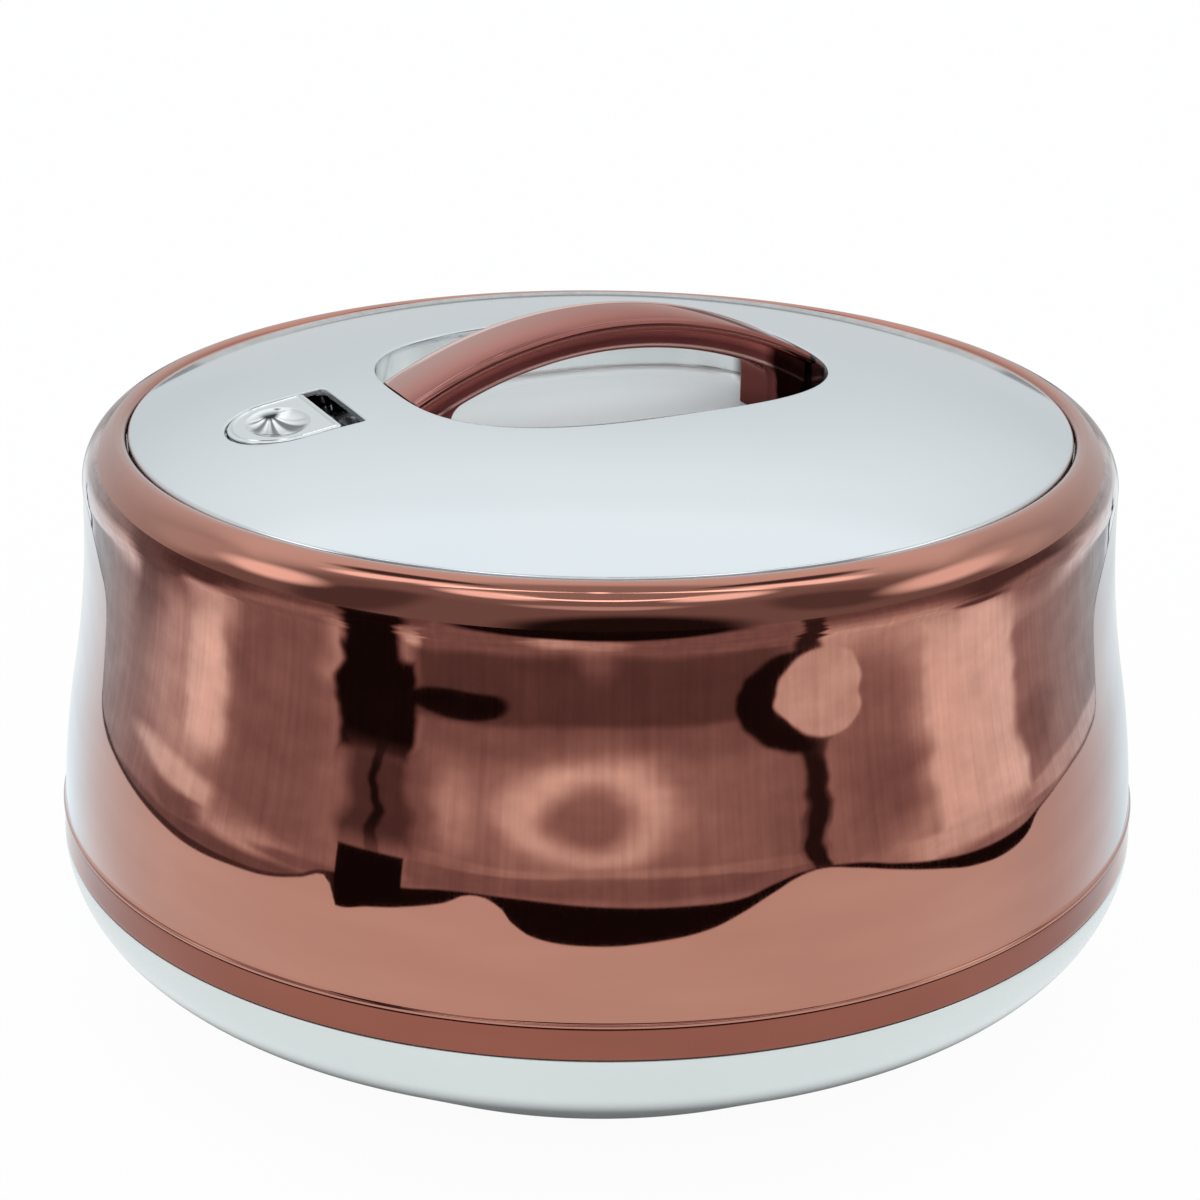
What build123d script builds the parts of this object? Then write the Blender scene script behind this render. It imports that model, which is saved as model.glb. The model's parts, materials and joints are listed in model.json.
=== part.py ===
"""An insulated chapati casserole, in millimetres.

A steel inner pot is foamed into a rose-gold upper shell, a copper band and a satin base bowl.
The lift-off lid has a chrome dome panel with a sunk well, an arched handle that bridges the
well and a sliding steam vent, over foam and a steel inner plate with a silicone gasket.

+Z is up, the origin is the centre of the footprint, and X runs along the handle, with the
vent on the -X side.
"""
from build123d import *
import math
import os

os.makedirs("parts", exist_ok=True)

# ---------------------------------------------------------------- clearances
seat_gap = 0.1          # between two fixed curved faces that seat on each other
foam_gap = 0.3          # between foam and what it fills around
ring_gap = 0.3          # between nested rings of the body
screw_gap = 0.05        # radial, screw shank in its hole
slide_gap = 0.3         # around and under the vent slider
seam_gap = 0.6          # open seam between the lid's edge and the rim
groove_height = 0.3     # shadow grooves above and below the copper band

# ---------------------------------------------------------------- base bowl and foot
pad_proud = 1.0         # how far the foot pads stand below the bowl
pad_radius = 6.0
pad_thickness = 2.0
pad_inset = 15.0        # from the foot's edge in to the pads' centres
pad_count = 4
pad_start_angle = 45.0
pad_edge_round = 0.4
foot_round = 3.0
flank_reach = 42.7      # level distance from the flat foot's edge out to the upright wall
flank_angle = 34.6      # slope of the bowl's lower flank, degrees above level
shoulder_round = 25.3   # large round from the flank to the upright wall
base_upright = 0.01     # upright wall that is left above the large round
base_radius = 145.7     # outer radius of the whole body, which the radii inside it follow
base_wall = 2.0
base_edge_round = 0.3
recess_inset = 32.6     # from the foot's edge in to the recess for the cover plate
pour_ledge = 22.4       # ledge that the cover plate lies against, round the pouring hole
cover_thickness = 2.2
cover_margin = 0.4
cover_edge_round = 0.5
cover_groove_inset = 14.0
cover_groove_width = 1.6
cover_groove_depth = 0.6
boss_inset = 11.4       # from the recess's edge in to the bosses' centres
boss_radius = 4.0
boss_height = 9.0

# ---------------------------------------------------------------- screws
screw_radius = 1.5
screw_head_radius = 3.0
screw_head_height = 1.7
screw_tip_chamfer = 0.5
driver_width = 0.8      # cross recess in each head
driver_length = 3.0
driver_depth = 0.9
pan_driver_share = 0.5  # depth of a pan head's recess, as a share of its height
pan_round_share = 0.33  # rounding of a pan head, as a share of its height
base_screw_length = 11.0
base_screw_count = 4
frame_screw_length = 7.0
frame_screw_count = 6
frame_screw_inset = 9.0     # from the lid's edge in to the frame's screws
frame_screw_angle = 30.0
handle_screw_length = 11.0
handle_screw_inset = 7.9    # from the well's end in to the handle's screws

# ---------------------------------------------------------------- band, joint ring, upper shell
band_space = 8.25       # between the bowl's top and the shell's lower edge
band_lean = 0.4         # how much narrower the band is at its top
band_thickness = 0.8
band_edge_round = 0.25
shell_step = 0.7        # how much narrower the shell's lower edge is than the bowl
shell_sheet = 0.8
lip_radius = 0.5        # rolled bead along the shell's lower edge
waist_height = 36.0     # from the lower edge to where the wall's outward curve turns inward
waist_inset = 4.63
wall_height = 87.5      # from the lower edge to where the wall turns into the rim's shoulder
wall_taper = 5.17       # from the waist in to the top of the wall
rim_shoulder_round = 13.8
rim_roll_round = 2.5
joint_wall = 2.5
joint_depth = 6.75      # how far the joint ring reaches down into the bowl
joint_low_inset = 1.3
joint_rise = 10.0       # how far the joint ring reaches up into the shell
joint_high_inset = 1.6

# ---------------------------------------------------------------- inner pot and collar
pot_sheet = 0.6
flange_rise = 2.5       # the flange's top above the top of the shell's wall
flange_overlap = 1.6    # how far the flange reaches out under the shell's inner skirt
flange_width = 15.0
pot_taper = 7.0         # how much narrower the pot is at its floor
pot_floor_round = 24.0
pot_mouth_round = 2.4
floor_foam = 14.2       # between the screw bosses' tops and the pot's floor
collar_height = 10.0
collar_stand = 3.2      # from the pot's mouth out to the collar
collar_gap = 0.5        # between the collar and the shell
collar_pocket_depth = 6.4
collar_wall = 2.2

# ---------------------------------------------------------------- lid
rim_width = 12.4        # from the top of the shell's wall in to the edge of the lid's panel
lid_edge_rise = 9.7     # the panel's edge above the flange
dome_rise = 13.5
dome_power = 3.5        # a flat-topped dome, rise * (1 - (r / R) ** power)
panel_sheet = 1.2
panel_edge_round = 0.8
panel_skirt_gap = 3.0   # between the panel's turned-down edge and the flange
well_end_inset = 65.2   # from the lid's edge in to the well's end
well_side_inset = 76.0  # from the lid's edge in to the well's side
well_power = 2.75       # exponent of the well's superellipse
well_depth = 18.0       # from the dome's crown down to the well's floor
well_wall = 1.5
well_flange = 4.0       # how far the well's flange reaches under the panel
well_floor_round = 3.5
plate_depth = 13.6
plate_side_gap = 3.5    # between the plate and the pot's mouth
plate_draft = 1.5
plate_sheet = 0.6
plate_floor_round = 5.0
plate_mouth_round = 1.6
plate_flange_width = 4.8
frame_height = 4.6
frame_width = 14.8      # from the lid's edge in to the frame's inner edge
frame_boss_radius = 3.0
gasket_space = 2.6      # between the flange and the frame
gasket_side_gap = 0.5   # between the gasket and the plate's flange
gasket_edge_inset = 0.6
gasket_web_gap = 0.7    # between the flange and the gasket's web
gasket_bead_inset = 2.2     # from the gasket's inner edge out to its bead
gasket_bead_margin = 2.4    # from its outer edge in to its bead
gasket_rib_margin = 1.4     # from its outer edge in to its rib
gasket_rib_width = 1.4
gasket_rib_height = 1.8
gasket_edge_round = 0.3

# ---------------------------------------------------------------- handle
handle_stand = 13.8     # the handle's crown above the dome's
handle_rise = 14.97     # rise of the arch over its span
handle_half_width = 12.0
handle_end_gap = 0.6
cover_depth = 2.1       # the handle cover's thickness at its edges
cover_crown = 0.5       # how much its middle stands above its edges
cover_side_round = 0.9
ridge_radius = 0.25     # two fine beads along each edge of the cover
ridge_inset = 1.9
ridge_pitch = 0.8
rib_half_width = 3.0
rib_depth = 2.0
core_half_width = 9.0
core_depth = 5.8
core_side_round = 2.0
leg_inner_inset = 11.6  # from the well's end in to the legs' inner faces
leg_foot_inset = 4.3
leg_fillet = 6.0

# ---------------------------------------------------------------- vent
vent_inset = 35.8       # from the lid's edge in to the centre of the recess's round end
recess_half_width = 15.2
recess_corner = 1.5
vent_travel = 5.8
slider_tail = 9.5       # from the round end's centre to the slider's flat end
slider_top_drop = 0.3
slider_lip_inset = 0.9
slider_lip_width = 0.6
slider_lip_height = 0.3
dish_half_length = 7.8
dish_half_width = 11.0
dish_x = -2.3
dish_depth = 2.4
tray_depth = 5.0
tray_sheet = 1.2
chamber_depth = 10.0
cap_thickness = 1.2
stem_x = 1.5
stem_length = 5.0
stem_width = 4.0
vent_hole_x = -7.0
vent_hole_radius = 2.0
vent_pad_radius = 3.8
vent_pad_pocket = 1.0
vent_pad_gap = 0.05
clip_length = 8.4
clip_width = 8.0
clip_thickness = 0.9
clip_corner = 0.75
clip_screw_radius = 0.9
clip_screw_length = 3.8
clip_head_radius = 1.9
clip_head_height = 1.1
tube_radius = 3.2
tube_bore = 2.0
tube_below_plate = 1.0
grommet_radius = 5.6
grommet_thickness = 3.6
grommet_hole_radius = 4.2   # hole in the inner plate

# ---------------------------------------------------------------- radii, from the body inwards
foot_radius = base_radius - flank_reach
pad_circle = foot_radius - pad_inset
recess_radius = foot_radius - recess_inset
boss_circle = recess_radius - boss_inset
pour_hole_radius = recess_radius - pour_ledge
cover_groove_radius = pour_hole_radius - cover_groove_inset
band_top_radius = base_radius - band_lean
shell_foot_radius = base_radius - shell_step
waist_radius = shell_foot_radius - waist_inset
shell_top_radius = waist_radius - wall_taper
joint_low_radius = base_radius - base_wall - joint_low_inset
joint_high_radius = shell_foot_radius - shell_sheet - joint_high_inset
joint_inner = joint_low_radius - joint_wall
lid_radius = shell_top_radius - rim_width
skirt_radius = lid_radius + seam_gap
flange_radius = skirt_radius + flange_overlap
pot_mouth_radius = flange_radius - flange_width
pot_floor_radius = pot_mouth_radius - pot_taper
collar_inner = pot_mouth_radius + collar_stand
collar_outer = shell_top_radius - shell_sheet - collar_gap
plate_radius = pot_mouth_radius - plate_side_gap
plate_flange_radius = plate_radius + plate_flange_width
frame_inner = lid_radius - frame_width
frame_screw_circle = lid_radius - frame_screw_inset
gasket_inner = plate_flange_radius + gasket_side_gap
gasket_outer = lid_radius - panel_sheet - gasket_edge_inset
gasket_bead_inner = gasket_inner + gasket_bead_inset
gasket_bead_outer = gasket_outer - gasket_bead_margin
gasket_rib_outer = gasket_outer - gasket_rib_margin
gasket_rib_inner = gasket_rib_outer - gasket_rib_width

# ---------------------------------------------------------------- heights, from the foot upwards
recess_z = pad_proud + cover_thickness
boss_top = recess_z + base_wall + boss_height
pot_floor = boss_top + floor_foam
flank_rise = flank_reach * math.tan(math.radians(flank_angle))
shoulder_rise = shoulder_round * math.tan(math.radians(90 - flank_angle) / 2)
base_top = pad_proud + flank_rise + shoulder_rise + base_upright
joint_low = base_top - joint_depth
shell_bottom = base_top + band_space
joint_high = shell_bottom + joint_rise
waist_z = shell_bottom + waist_height
shoulder_start = shell_bottom + wall_height
flange_top = shoulder_start + flange_rise   # the shell's skirt and the lid's gasket stand here
collar_bottom = flange_top - collar_height
gasket_web_bottom = flange_top + gasket_web_gap
frame_bottom = flange_top + gasket_space
frame_top = frame_bottom + frame_height
plate_bottom = frame_bottom - plate_depth
panel_skirt_bottom = flange_top + panel_skirt_gap
lid_edge_z = flange_top + lid_edge_rise
well_floor = lid_edge_z + dome_rise - well_depth
handle_crown = lid_edge_z + dome_rise + handle_stand
above_lid = handle_crown + handle_half_width

# ---------------------------------------------------------------- well, handle and vent
well_half_length = lid_radius - well_end_inset
well_half_width = lid_radius - well_side_inset
handle_half_span = well_half_length - handle_end_gap
handle_arc = (handle_half_span**2 + handle_rise**2) / (2 * handle_rise)
handle_centre_z = handle_crown - handle_arc
handle_screw_x = well_half_length - handle_screw_inset
leg_inner = well_half_length - leg_inner_inset
leg_foot_outer = well_half_length - leg_foot_inset
vent_x = vent_inset - lid_radius
recess_tail = slider_tail + vent_travel + slide_gap


# ================================================================ shared forms
def dome_z(radius):
    """Height of the lid panel's outer surface at a radius."""
    return lid_edge_z + dome_rise * (1 - (radius / lid_radius) ** dome_power)


def dome_slope(radius):
    """Slope of the lid panel's outer surface at a radius."""
    return -dome_rise * dome_power / lid_radius * (radius / lid_radius) ** (dome_power - 1)


def dome_solid(radius, drop, floor):
    """Everything under the dome, lowered by drop, out to a radius and down to a floor."""
    steps = 8
    radii = [radius * i / steps for i in range(steps + 1)]
    crown = [(r, dome_z(r) - drop) for r in radii]
    with BuildPart(mode=Mode.PRIVATE) as under_dome:
        with BuildSketch(Plane.XZ):
            with BuildLine():
                Spline(*crown, tangents=[(1, 0), (1, dome_slope(radius))])
                Polyline(crown[-1], (radius, floor), (0, floor), crown[0])
            make_face()
        revolve(axis=Axis.Z)
    return under_dome.part


def well_outline(growth):
    """The well's superellipse seen from above, grown by a margin."""
    steps = 24
    points = []
    for i in range(steps):
        angle = 2 * math.pi * i / steps
        along = math.copysign(abs(math.cos(angle)) ** (2 / well_power), math.cos(angle))
        across = math.copysign(abs(math.sin(angle)) ** (2 / well_power), math.sin(angle))
        points.append(((well_half_length + growth) * along, (well_half_width + growth) * across))
    with BuildSketch(mode=Mode.PRIVATE) as outline:
        with BuildLine():
            Spline(*points, periodic=True)
        make_face()
    return outline.sketch


def bullet(radius, tail):
    """An outline with a round end about the origin and a flat end at x = tail."""
    with BuildSketch(mode=Mode.PRIVATE) as outline:
        Circle(radius)
        Rectangle(tail, 2 * radius, align=(Align.MIN, Align.CENTER))
        with Locations((-radius, 0)):
            Rectangle(
                radius + tail,
                2 * radius,
                align=(Align.MIN, Align.CENTER),
                mode=Mode.INTERSECT,
            )
        fillet(outline.vertices().group_by(Axis.X)[-1], recess_corner)
    return outline.sketch


def base_line():
    """Outer line of the base bowl, from its flat foot to its upright top."""
    return FilletPolyline(
        (recess_radius, pad_proud),
        (foot_radius, pad_proud),
        (base_radius, pad_proud + flank_rise),
        (base_radius, base_top),
        radius=[foot_round, shoulder_round],
    )


def shell_line():
    """Outer line of the upper shell's wall: two tangent arcs that meet at the waist."""
    waist = (waist_radius, waist_z)
    upper = TangentArc((shell_top_radius, shoulder_start), waist, tangent=(0, -1))
    TangentArc(waist, (shell_foot_radius, shell_bottom), tangent=upper % 1)


def pot_line():
    """Outer line of the inner pot, from the middle of its floor to the edge of its flange."""
    return FilletPolyline(
        (0, pot_floor),
        (pot_floor_radius, pot_floor),
        (pot_mouth_radius + pot_sheet, flange_top - pot_sheet),
        (flange_radius, flange_top - pot_sheet),
        radius=[pot_floor_round, pot_mouth_round],
    )


def plate_line():
    """Outer line of the lid's inner plate, from the middle of its floor to its flange's edge."""
    return FilletPolyline(
        (0, plate_bottom),
        (plate_radius - plate_draft, plate_bottom),
        (plate_radius, frame_bottom - plate_sheet),
        (plate_flange_radius, frame_bottom - plate_sheet),
        radius=[plate_floor_round, plate_mouth_round],
    )


def inside_of(line_function, inset, side):
    """Half section between the axis and a wall's line, which is first moved by an inset."""
    with BuildLine(mode=Mode.PRIVATE) as edge:
        line_function()
        offset(amount=inset, side=side, closed=False)
    low, high = sorted((edge.line @ 0, edge.line @ 1), key=lambda point: point.Y)
    with BuildSketch(mode=Mode.PRIVATE) as region:
        with BuildLine():
            add(edge.line)
            Polyline(high, (high.X, high.Y + inset), (0, high.Y + inset))
            if low.X > seat_gap:
                Polyline((0, high.Y + inset), (0, low.Y), low)
            else:
                Line((0, high.Y + inset), low)
        make_face()
    return region.sketch


def screw_form(length, growth):
    """A countersunk screw pointing up from its flat head, grown by a margin for its hole."""
    with BuildPart(mode=Mode.PRIVATE) as form:
        Cylinder(screw_radius + growth, length, align=(Align.CENTER, Align.CENTER, Align.MIN))
        chamfer(form.edges().group_by(Axis.Z)[-1], screw_tip_chamfer)
        Cone(
            screw_head_radius + growth,
            screw_radius + growth,
            screw_head_height,
            align=(Align.CENTER, Align.CENTER, Align.MIN),
        )
    return form.part


def countersunk_screw(length):
    """A countersunk screw pointing up, with a cross recess in its head."""
    with BuildPart(mode=Mode.PRIVATE) as screw:
        add(screw_form(length, 0))
        with BuildSketch():
            Rectangle(driver_length, driver_width)
            Rectangle(driver_width, driver_length)
        extrude(amount=driver_depth, mode=Mode.SUBTRACT)
    return screw.part


def pan_screw(shank_radius, length, head_radius, head_height):
    """A pan-head screw pointing up, with its bearing face at z = 0."""
    with BuildPart(mode=Mode.PRIVATE) as screw:
        Cylinder(head_radius, head_height, align=(Align.CENTER, Align.CENTER, Align.MAX))
        fillet(screw.edges().group_by(Axis.Z)[0], head_height * pan_round_share)
        with BuildSketch(Plane.XY.offset(-head_height)):
            Rectangle(head_radius, driver_width)
            Rectangle(driver_width, head_radius)
        extrude(amount=head_height * pan_driver_share, mode=Mode.SUBTRACT)
        Cylinder(shank_radius, length, align=(Align.CENTER, Align.CENTER, Align.MIN))
    return screw.part


# ================================================================ body
# base bowl: one thin-walled moulding with a recess, screw bosses and pad pockets underneath
with BuildPart() as base_bowl:
    with BuildSketch(Plane.XZ):
        with BuildLine():
            base_line()
            Polyline((pour_hole_radius, recess_z), (recess_radius, recess_z), (recess_radius, pad_proud))
            offset(amount=base_wall, side=Side.LEFT)
        make_face()
    revolve(axis=Axis.Z)
    fillet(base_bowl.edges().group_by(Axis.Z)[-1].sort_by(SortBy.RADIUS)[-1], base_edge_round)
    with BuildSketch(Plane.XY.offset(recess_z + base_wall)):
        with PolarLocations(boss_circle, base_screw_count):
            Circle(boss_radius)
    extrude(amount=boss_height)
    with BuildSketch(Plane.XY.offset(pad_proud)):
        with PolarLocations(boss_circle, base_screw_count):
            Circle(screw_radius + screw_gap)
    extrude(amount=base_screw_length + screw_gap, mode=Mode.SUBTRACT)
    with BuildSketch(Plane.XY.offset(pad_proud)):
        with PolarLocations(pad_circle, pad_count, start_angle=pad_start_angle):
            Circle(pad_radius + seat_gap)
    extrude(amount=pad_thickness - pad_proud, mode=Mode.SUBTRACT)

base_bowl.part.label = "base_bowl"
export_step(base_bowl.part, "parts/base_bowl.step")

# cover plate over the pouring hole, flush in its recess
with BuildPart() as base_cover:
    with BuildSketch(Plane.XY.offset(pad_proud)):
        Circle(recess_radius - cover_margin)
    extrude(amount=cover_thickness)
    fillet(base_cover.edges().group_by(Axis.Z)[0], cover_edge_round)
    with BuildSketch(Plane.XY.offset(pad_proud)):
        Circle(cover_groove_radius + cover_groove_width)
        Circle(cover_groove_radius, mode=Mode.SUBTRACT)
    extrude(amount=cover_groove_depth, mode=Mode.SUBTRACT)
    with Locations(Plane.XY.offset(pad_proud)):
        with PolarLocations(boss_circle, base_screw_count):
            add(screw_form(base_screw_length, screw_gap), mode=Mode.SUBTRACT)

base_cover.part.label = "base_cover"
export_step(base_cover.part, "parts/base_cover.step")

# the cover plate's four screws
with BuildPart() as base_screws:
    with Locations(Plane.XY.offset(pad_proud)):
        with PolarLocations(boss_circle, base_screw_count):
            add(countersunk_screw(base_screw_length))

base_screws.part.label = "base_screws"
export_step(base_screws.part, "parts/base_screws.step")

# four foot pads, each pressed into its own pocket
for pad_index, pad_place in enumerate(PolarLocations(pad_circle, pad_count, start_angle=pad_start_angle)):
    with BuildPart() as foot_pad:
        with Locations(pad_place):
            Cylinder(pad_radius, pad_thickness, align=(Align.CENTER, Align.CENTER, Align.MIN))
        fillet(foot_pad.edges().group_by(Axis.Z)[0], pad_edge_round)
    foot_pad.part.label = f"foot_pad_{pad_index + 1}"
    export_step(foot_pad.part, f"parts/foot_pad_{pad_index + 1}.step")

# copper band between the base bowl and the upper shell
with BuildPart() as copper_band:
    band_bottom = base_top + groove_height
    band_top = shell_bottom - groove_height
    with BuildSketch(Plane.XZ) as band_section:
        with BuildLine():
            Polyline(
                (base_radius, band_bottom),
                (band_top_radius, band_top),
                (band_top_radius - band_thickness, band_top),
                (base_radius - band_thickness, band_bottom),
                close=True,
            )
        make_face()
        fillet(band_section.vertices().sort_by(Axis.X)[-2:], band_edge_round)
    revolve(axis=Axis.Z)

copper_band.part.label = "copper_band"
export_step(copper_band.part, "parts/copper_band.step")

# joint ring: stands on the bowl, carries the band and the shell, and guides both from inside
with BuildPart() as joint_ring:
    shell_ledge = shell_bottom - 2 * seat_gap
    with BuildSketch(Plane.XZ):
        with BuildLine():
            Polyline(
                (joint_inner, joint_low),
                (joint_low_radius, joint_low),
                (joint_low_radius, base_top),
                (band_top_radius - band_thickness - ring_gap, base_top),
                (band_top_radius - band_thickness - ring_gap, shell_ledge),
                (joint_high_radius, shell_ledge),
                (joint_high_radius, joint_high),
                (joint_inner, joint_high),
                close=True,
            )
        make_face()
    revolve(axis=Axis.Z)

joint_ring.part.label = "joint_ring"
export_step(joint_ring.part, "parts/joint_ring.step")

# upper shell: wall, rounded shoulder, rolled rim and the inner skirt that stands on the flange
with BuildPart() as outer_shell:
    with BuildSketch(Plane.XZ):
        with BuildLine():
            shell_line()
            shoulder_x = shell_top_radius - rim_shoulder_round
            roll_x = skirt_radius + rim_roll_round
            turn = math.acos((roll_x - shoulder_x) / (rim_shoulder_round - rim_roll_round))
            roll_z = shoulder_start + (rim_shoulder_round - rim_roll_round) * math.sin(turn)
            turn_degrees = math.degrees(turn)
            CenterArc((shoulder_x, shoulder_start), rim_shoulder_round, 0, turn_degrees)
            CenterArc((roll_x, roll_z), rim_roll_round, turn_degrees, 180 - turn_degrees)
            Line((skirt_radius, roll_z), (skirt_radius, flange_top))
            offset(amount=shell_sheet, side=Side.RIGHT)
        make_face()
        with Locations((shell_foot_radius + seat_gap, shell_bottom + lip_radius)):
            Circle(lip_radius)
    revolve(axis=Axis.Z)

outer_shell.part.label = "outer_shell"
export_step(outer_shell.part, "parts/outer_shell.step")

# inner pot: drawn from one sheet, with a flange that carries the lid
with BuildPart() as inner_pot:
    with BuildSketch(Plane.XZ):
        with BuildLine():
            pot_line()
            offset(amount=pot_sheet, side=Side.LEFT)
        make_face()
    revolve(axis=Axis.Z)

inner_pot.part.label = "inner_pot"
export_step(inner_pot.part, "parts/inner_pot.step")

# collar: moulded ring under the flange, hollow from below
with BuildPart() as pot_collar:
    collar_top = flange_top - pot_sheet
    with BuildSketch(Plane.XZ):
        with Locations((collar_inner, collar_bottom)):
            Rectangle(collar_outer - collar_inner, collar_top - collar_bottom, align=(Align.MIN, Align.MIN))
        with Locations((collar_inner + collar_wall, collar_bottom)):
            Rectangle(
                collar_outer - collar_inner - 2 * collar_wall,
                collar_pocket_depth,
                align=(Align.MIN, Align.MIN),
                mode=Mode.SUBTRACT,
            )
    revolve(axis=Axis.Z)

pot_collar.part.label = "pot_collar"
export_step(pot_collar.part, "parts/pot_collar.step")

# foam poured between the pot and the outer walls
with BuildPart() as body_foam:
    foam_floor = recess_z + base_wall + foam_gap
    foam_top = collar_bottom - foam_gap
    with BuildSketch(Plane.XZ):
        add(inside_of(base_line, base_wall + foam_gap, Side.LEFT))
        add(inside_of(shell_line, shell_sheet + foam_gap, Side.RIGHT))
        with Locations((0, joint_low)):
            Rectangle(joint_inner - foam_gap, joint_high - joint_low, align=(Align.MIN, Align.MIN))
        with Locations((joint_inner - foam_gap, joint_low - foam_gap)):
            Rectangle(
                base_radius,
                joint_high - joint_low + 2 * foam_gap,
                align=(Align.MIN, Align.MIN),
                mode=Mode.SUBTRACT,
            )
        with Locations((0, foam_floor)):
            Rectangle(
                base_radius,
                foam_top - foam_floor,
                align=(Align.MIN, Align.MIN),
                mode=Mode.INTERSECT,
            )
        add(inside_of(pot_line, foam_gap, Side.RIGHT), mode=Mode.SUBTRACT)
    revolve(axis=Axis.Z)
    with BuildSketch(Plane.XY.offset(foam_floor)):
        with PolarLocations(boss_circle, base_screw_count):
            Circle(boss_radius + foam_gap)
    extrude(amount=boss_top + foam_gap - foam_floor, mode=Mode.SUBTRACT)

body_foam.part.label = "body_foam"
export_step(body_foam.part, "parts/body_foam.step")

# ================================================================ lid
vent_slope = math.atan(-dome_slope(abs(vent_x)))
vent_plane = Plane(
    origin=(vent_x, 0, dome_z(abs(vent_x))),
    x_dir=(math.cos(vent_slope), 0, math.sin(vent_slope)),
    z_dir=(-math.sin(vent_slope), 0, math.cos(vent_slope)),
)
vent_hole = vent_plane.from_local_coords((vent_hole_x, 0, -tray_depth))
under_panel = dome_solid(lid_radius, panel_sheet + seat_gap, frame_bottom)

# panel: flat-topped dome with a turned-down edge, the two openings and six screw bosses
with BuildPart() as panel_bosses:
    with BuildSketch(Plane.XY.offset(frame_top)):
        with PolarLocations(frame_screw_circle, frame_screw_count, start_angle=frame_screw_angle):
            Circle(frame_boss_radius)
    extrude(amount=dome_rise)
    add(dome_solid(lid_radius, panel_sheet / 2, frame_bottom), mode=Mode.INTERSECT)

with BuildPart() as lid_panel:
    add(dome_solid(lid_radius, 0, panel_skirt_bottom))
    fillet(lid_panel.edges().filter_by(GeomType.CIRCLE).sort_by(Axis.Z)[-1], panel_edge_round)
    add(dome_solid(lid_radius - panel_sheet, panel_sheet, panel_skirt_bottom), mode=Mode.SUBTRACT)
    with BuildSketch(Plane.XY.offset(panel_skirt_bottom)):
        add(well_outline(0))
    extrude(amount=above_lid - panel_skirt_bottom, mode=Mode.SUBTRACT)
    with BuildSketch(vent_plane):
        add(bullet(recess_half_width, recess_tail))
    extrude(amount=tray_depth, both=True, mode=Mode.SUBTRACT)
    add(panel_bosses.part)
    with BuildSketch(Plane.XY.offset(frame_bottom)):
        with PolarLocations(frame_screw_circle, frame_screw_count, start_angle=frame_screw_angle):
            Circle(screw_radius + screw_gap)
    extrude(amount=frame_screw_length + screw_gap, mode=Mode.SUBTRACT)

lid_panel.part.label = "lid_panel"
export_step(lid_panel.part, "parts/lid_panel.step")

# well: a sunk pan with a flange under the panel, its floor drilled for the handle's screws
with BuildPart() as well_rim:
    with BuildSketch(Plane.XY.offset(frame_top)):
        add(well_outline(well_flange))
    extrude(amount=above_lid - frame_top)
    add(under_panel, mode=Mode.INTERSECT)
    add(dome_solid(lid_radius, panel_sheet + seat_gap + well_wall, frame_bottom), mode=Mode.SUBTRACT)

with BuildPart() as handle_well:
    with BuildSketch(Plane.XY.offset(well_floor - well_wall)):
        add(well_outline(well_wall))
    extrude(amount=above_lid - well_floor)
    fillet(handle_well.edges().group_by(Axis.Z)[0], well_floor_round)
    add(under_panel, mode=Mode.INTERSECT)
    add(well_rim.part)
    with BuildSketch(Plane.XY.offset(well_floor)):
        add(well_outline(0))
    extrude(amount=above_lid - well_floor, mode=Mode.SUBTRACT)
    floor_edges = handle_well.edges().filter_by_position(Axis.Z, well_floor - seat_gap, well_floor + seat_gap)
    fillet(floor_edges, well_floor_round)
    with BuildSketch(Plane.XY.offset(well_floor)):
        with Locations((-handle_screw_x, 0), (handle_screw_x, 0)):
            Circle(screw_radius + screw_gap)
    extrude(amount=-2 * well_wall, mode=Mode.SUBTRACT)

handle_well.part.label = "handle_well"
export_step(handle_well.part, "parts/handle_well.step")

# lid frame: ring under the panel's edge, with the gasket's groove and countersunk holes
with BuildPart() as lid_frame:
    with BuildSketch(Plane.XZ):
        with Locations((frame_inner, frame_bottom)):
            Rectangle(
                lid_radius - panel_sheet - ring_gap - frame_inner,
                frame_top - frame_bottom,
                align=(Align.MIN, Align.MIN),
            )
        with Locations((gasket_rib_inner - seat_gap, frame_bottom)):
            Rectangle(
                gasket_rib_outer - gasket_rib_inner + 2 * seat_gap,
                gasket_rib_height + seat_gap,
                align=(Align.MIN, Align.MIN),
                mode=Mode.SUBTRACT,
            )
    revolve(axis=Axis.Z)
    with Locations(Plane.XY.offset(frame_bottom)):
        with PolarLocations(frame_screw_circle, frame_screw_count, start_angle=frame_screw_angle):
            add(screw_form(frame_screw_length, screw_gap), mode=Mode.SUBTRACT)

lid_frame.part.label = "lid_frame"
export_step(lid_frame.part, "parts/lid_frame.step")

# six screws that hold the panel on the frame
with BuildPart() as frame_screws:
    with Locations(Plane.XY.offset(frame_bottom)):
        with PolarLocations(frame_screw_circle, frame_screw_count, start_angle=frame_screw_angle):
            add(countersunk_screw(frame_screw_length))

frame_screws.part.label = "frame_screws"
export_step(frame_screws.part, "parts/frame_screws.step")

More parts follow.
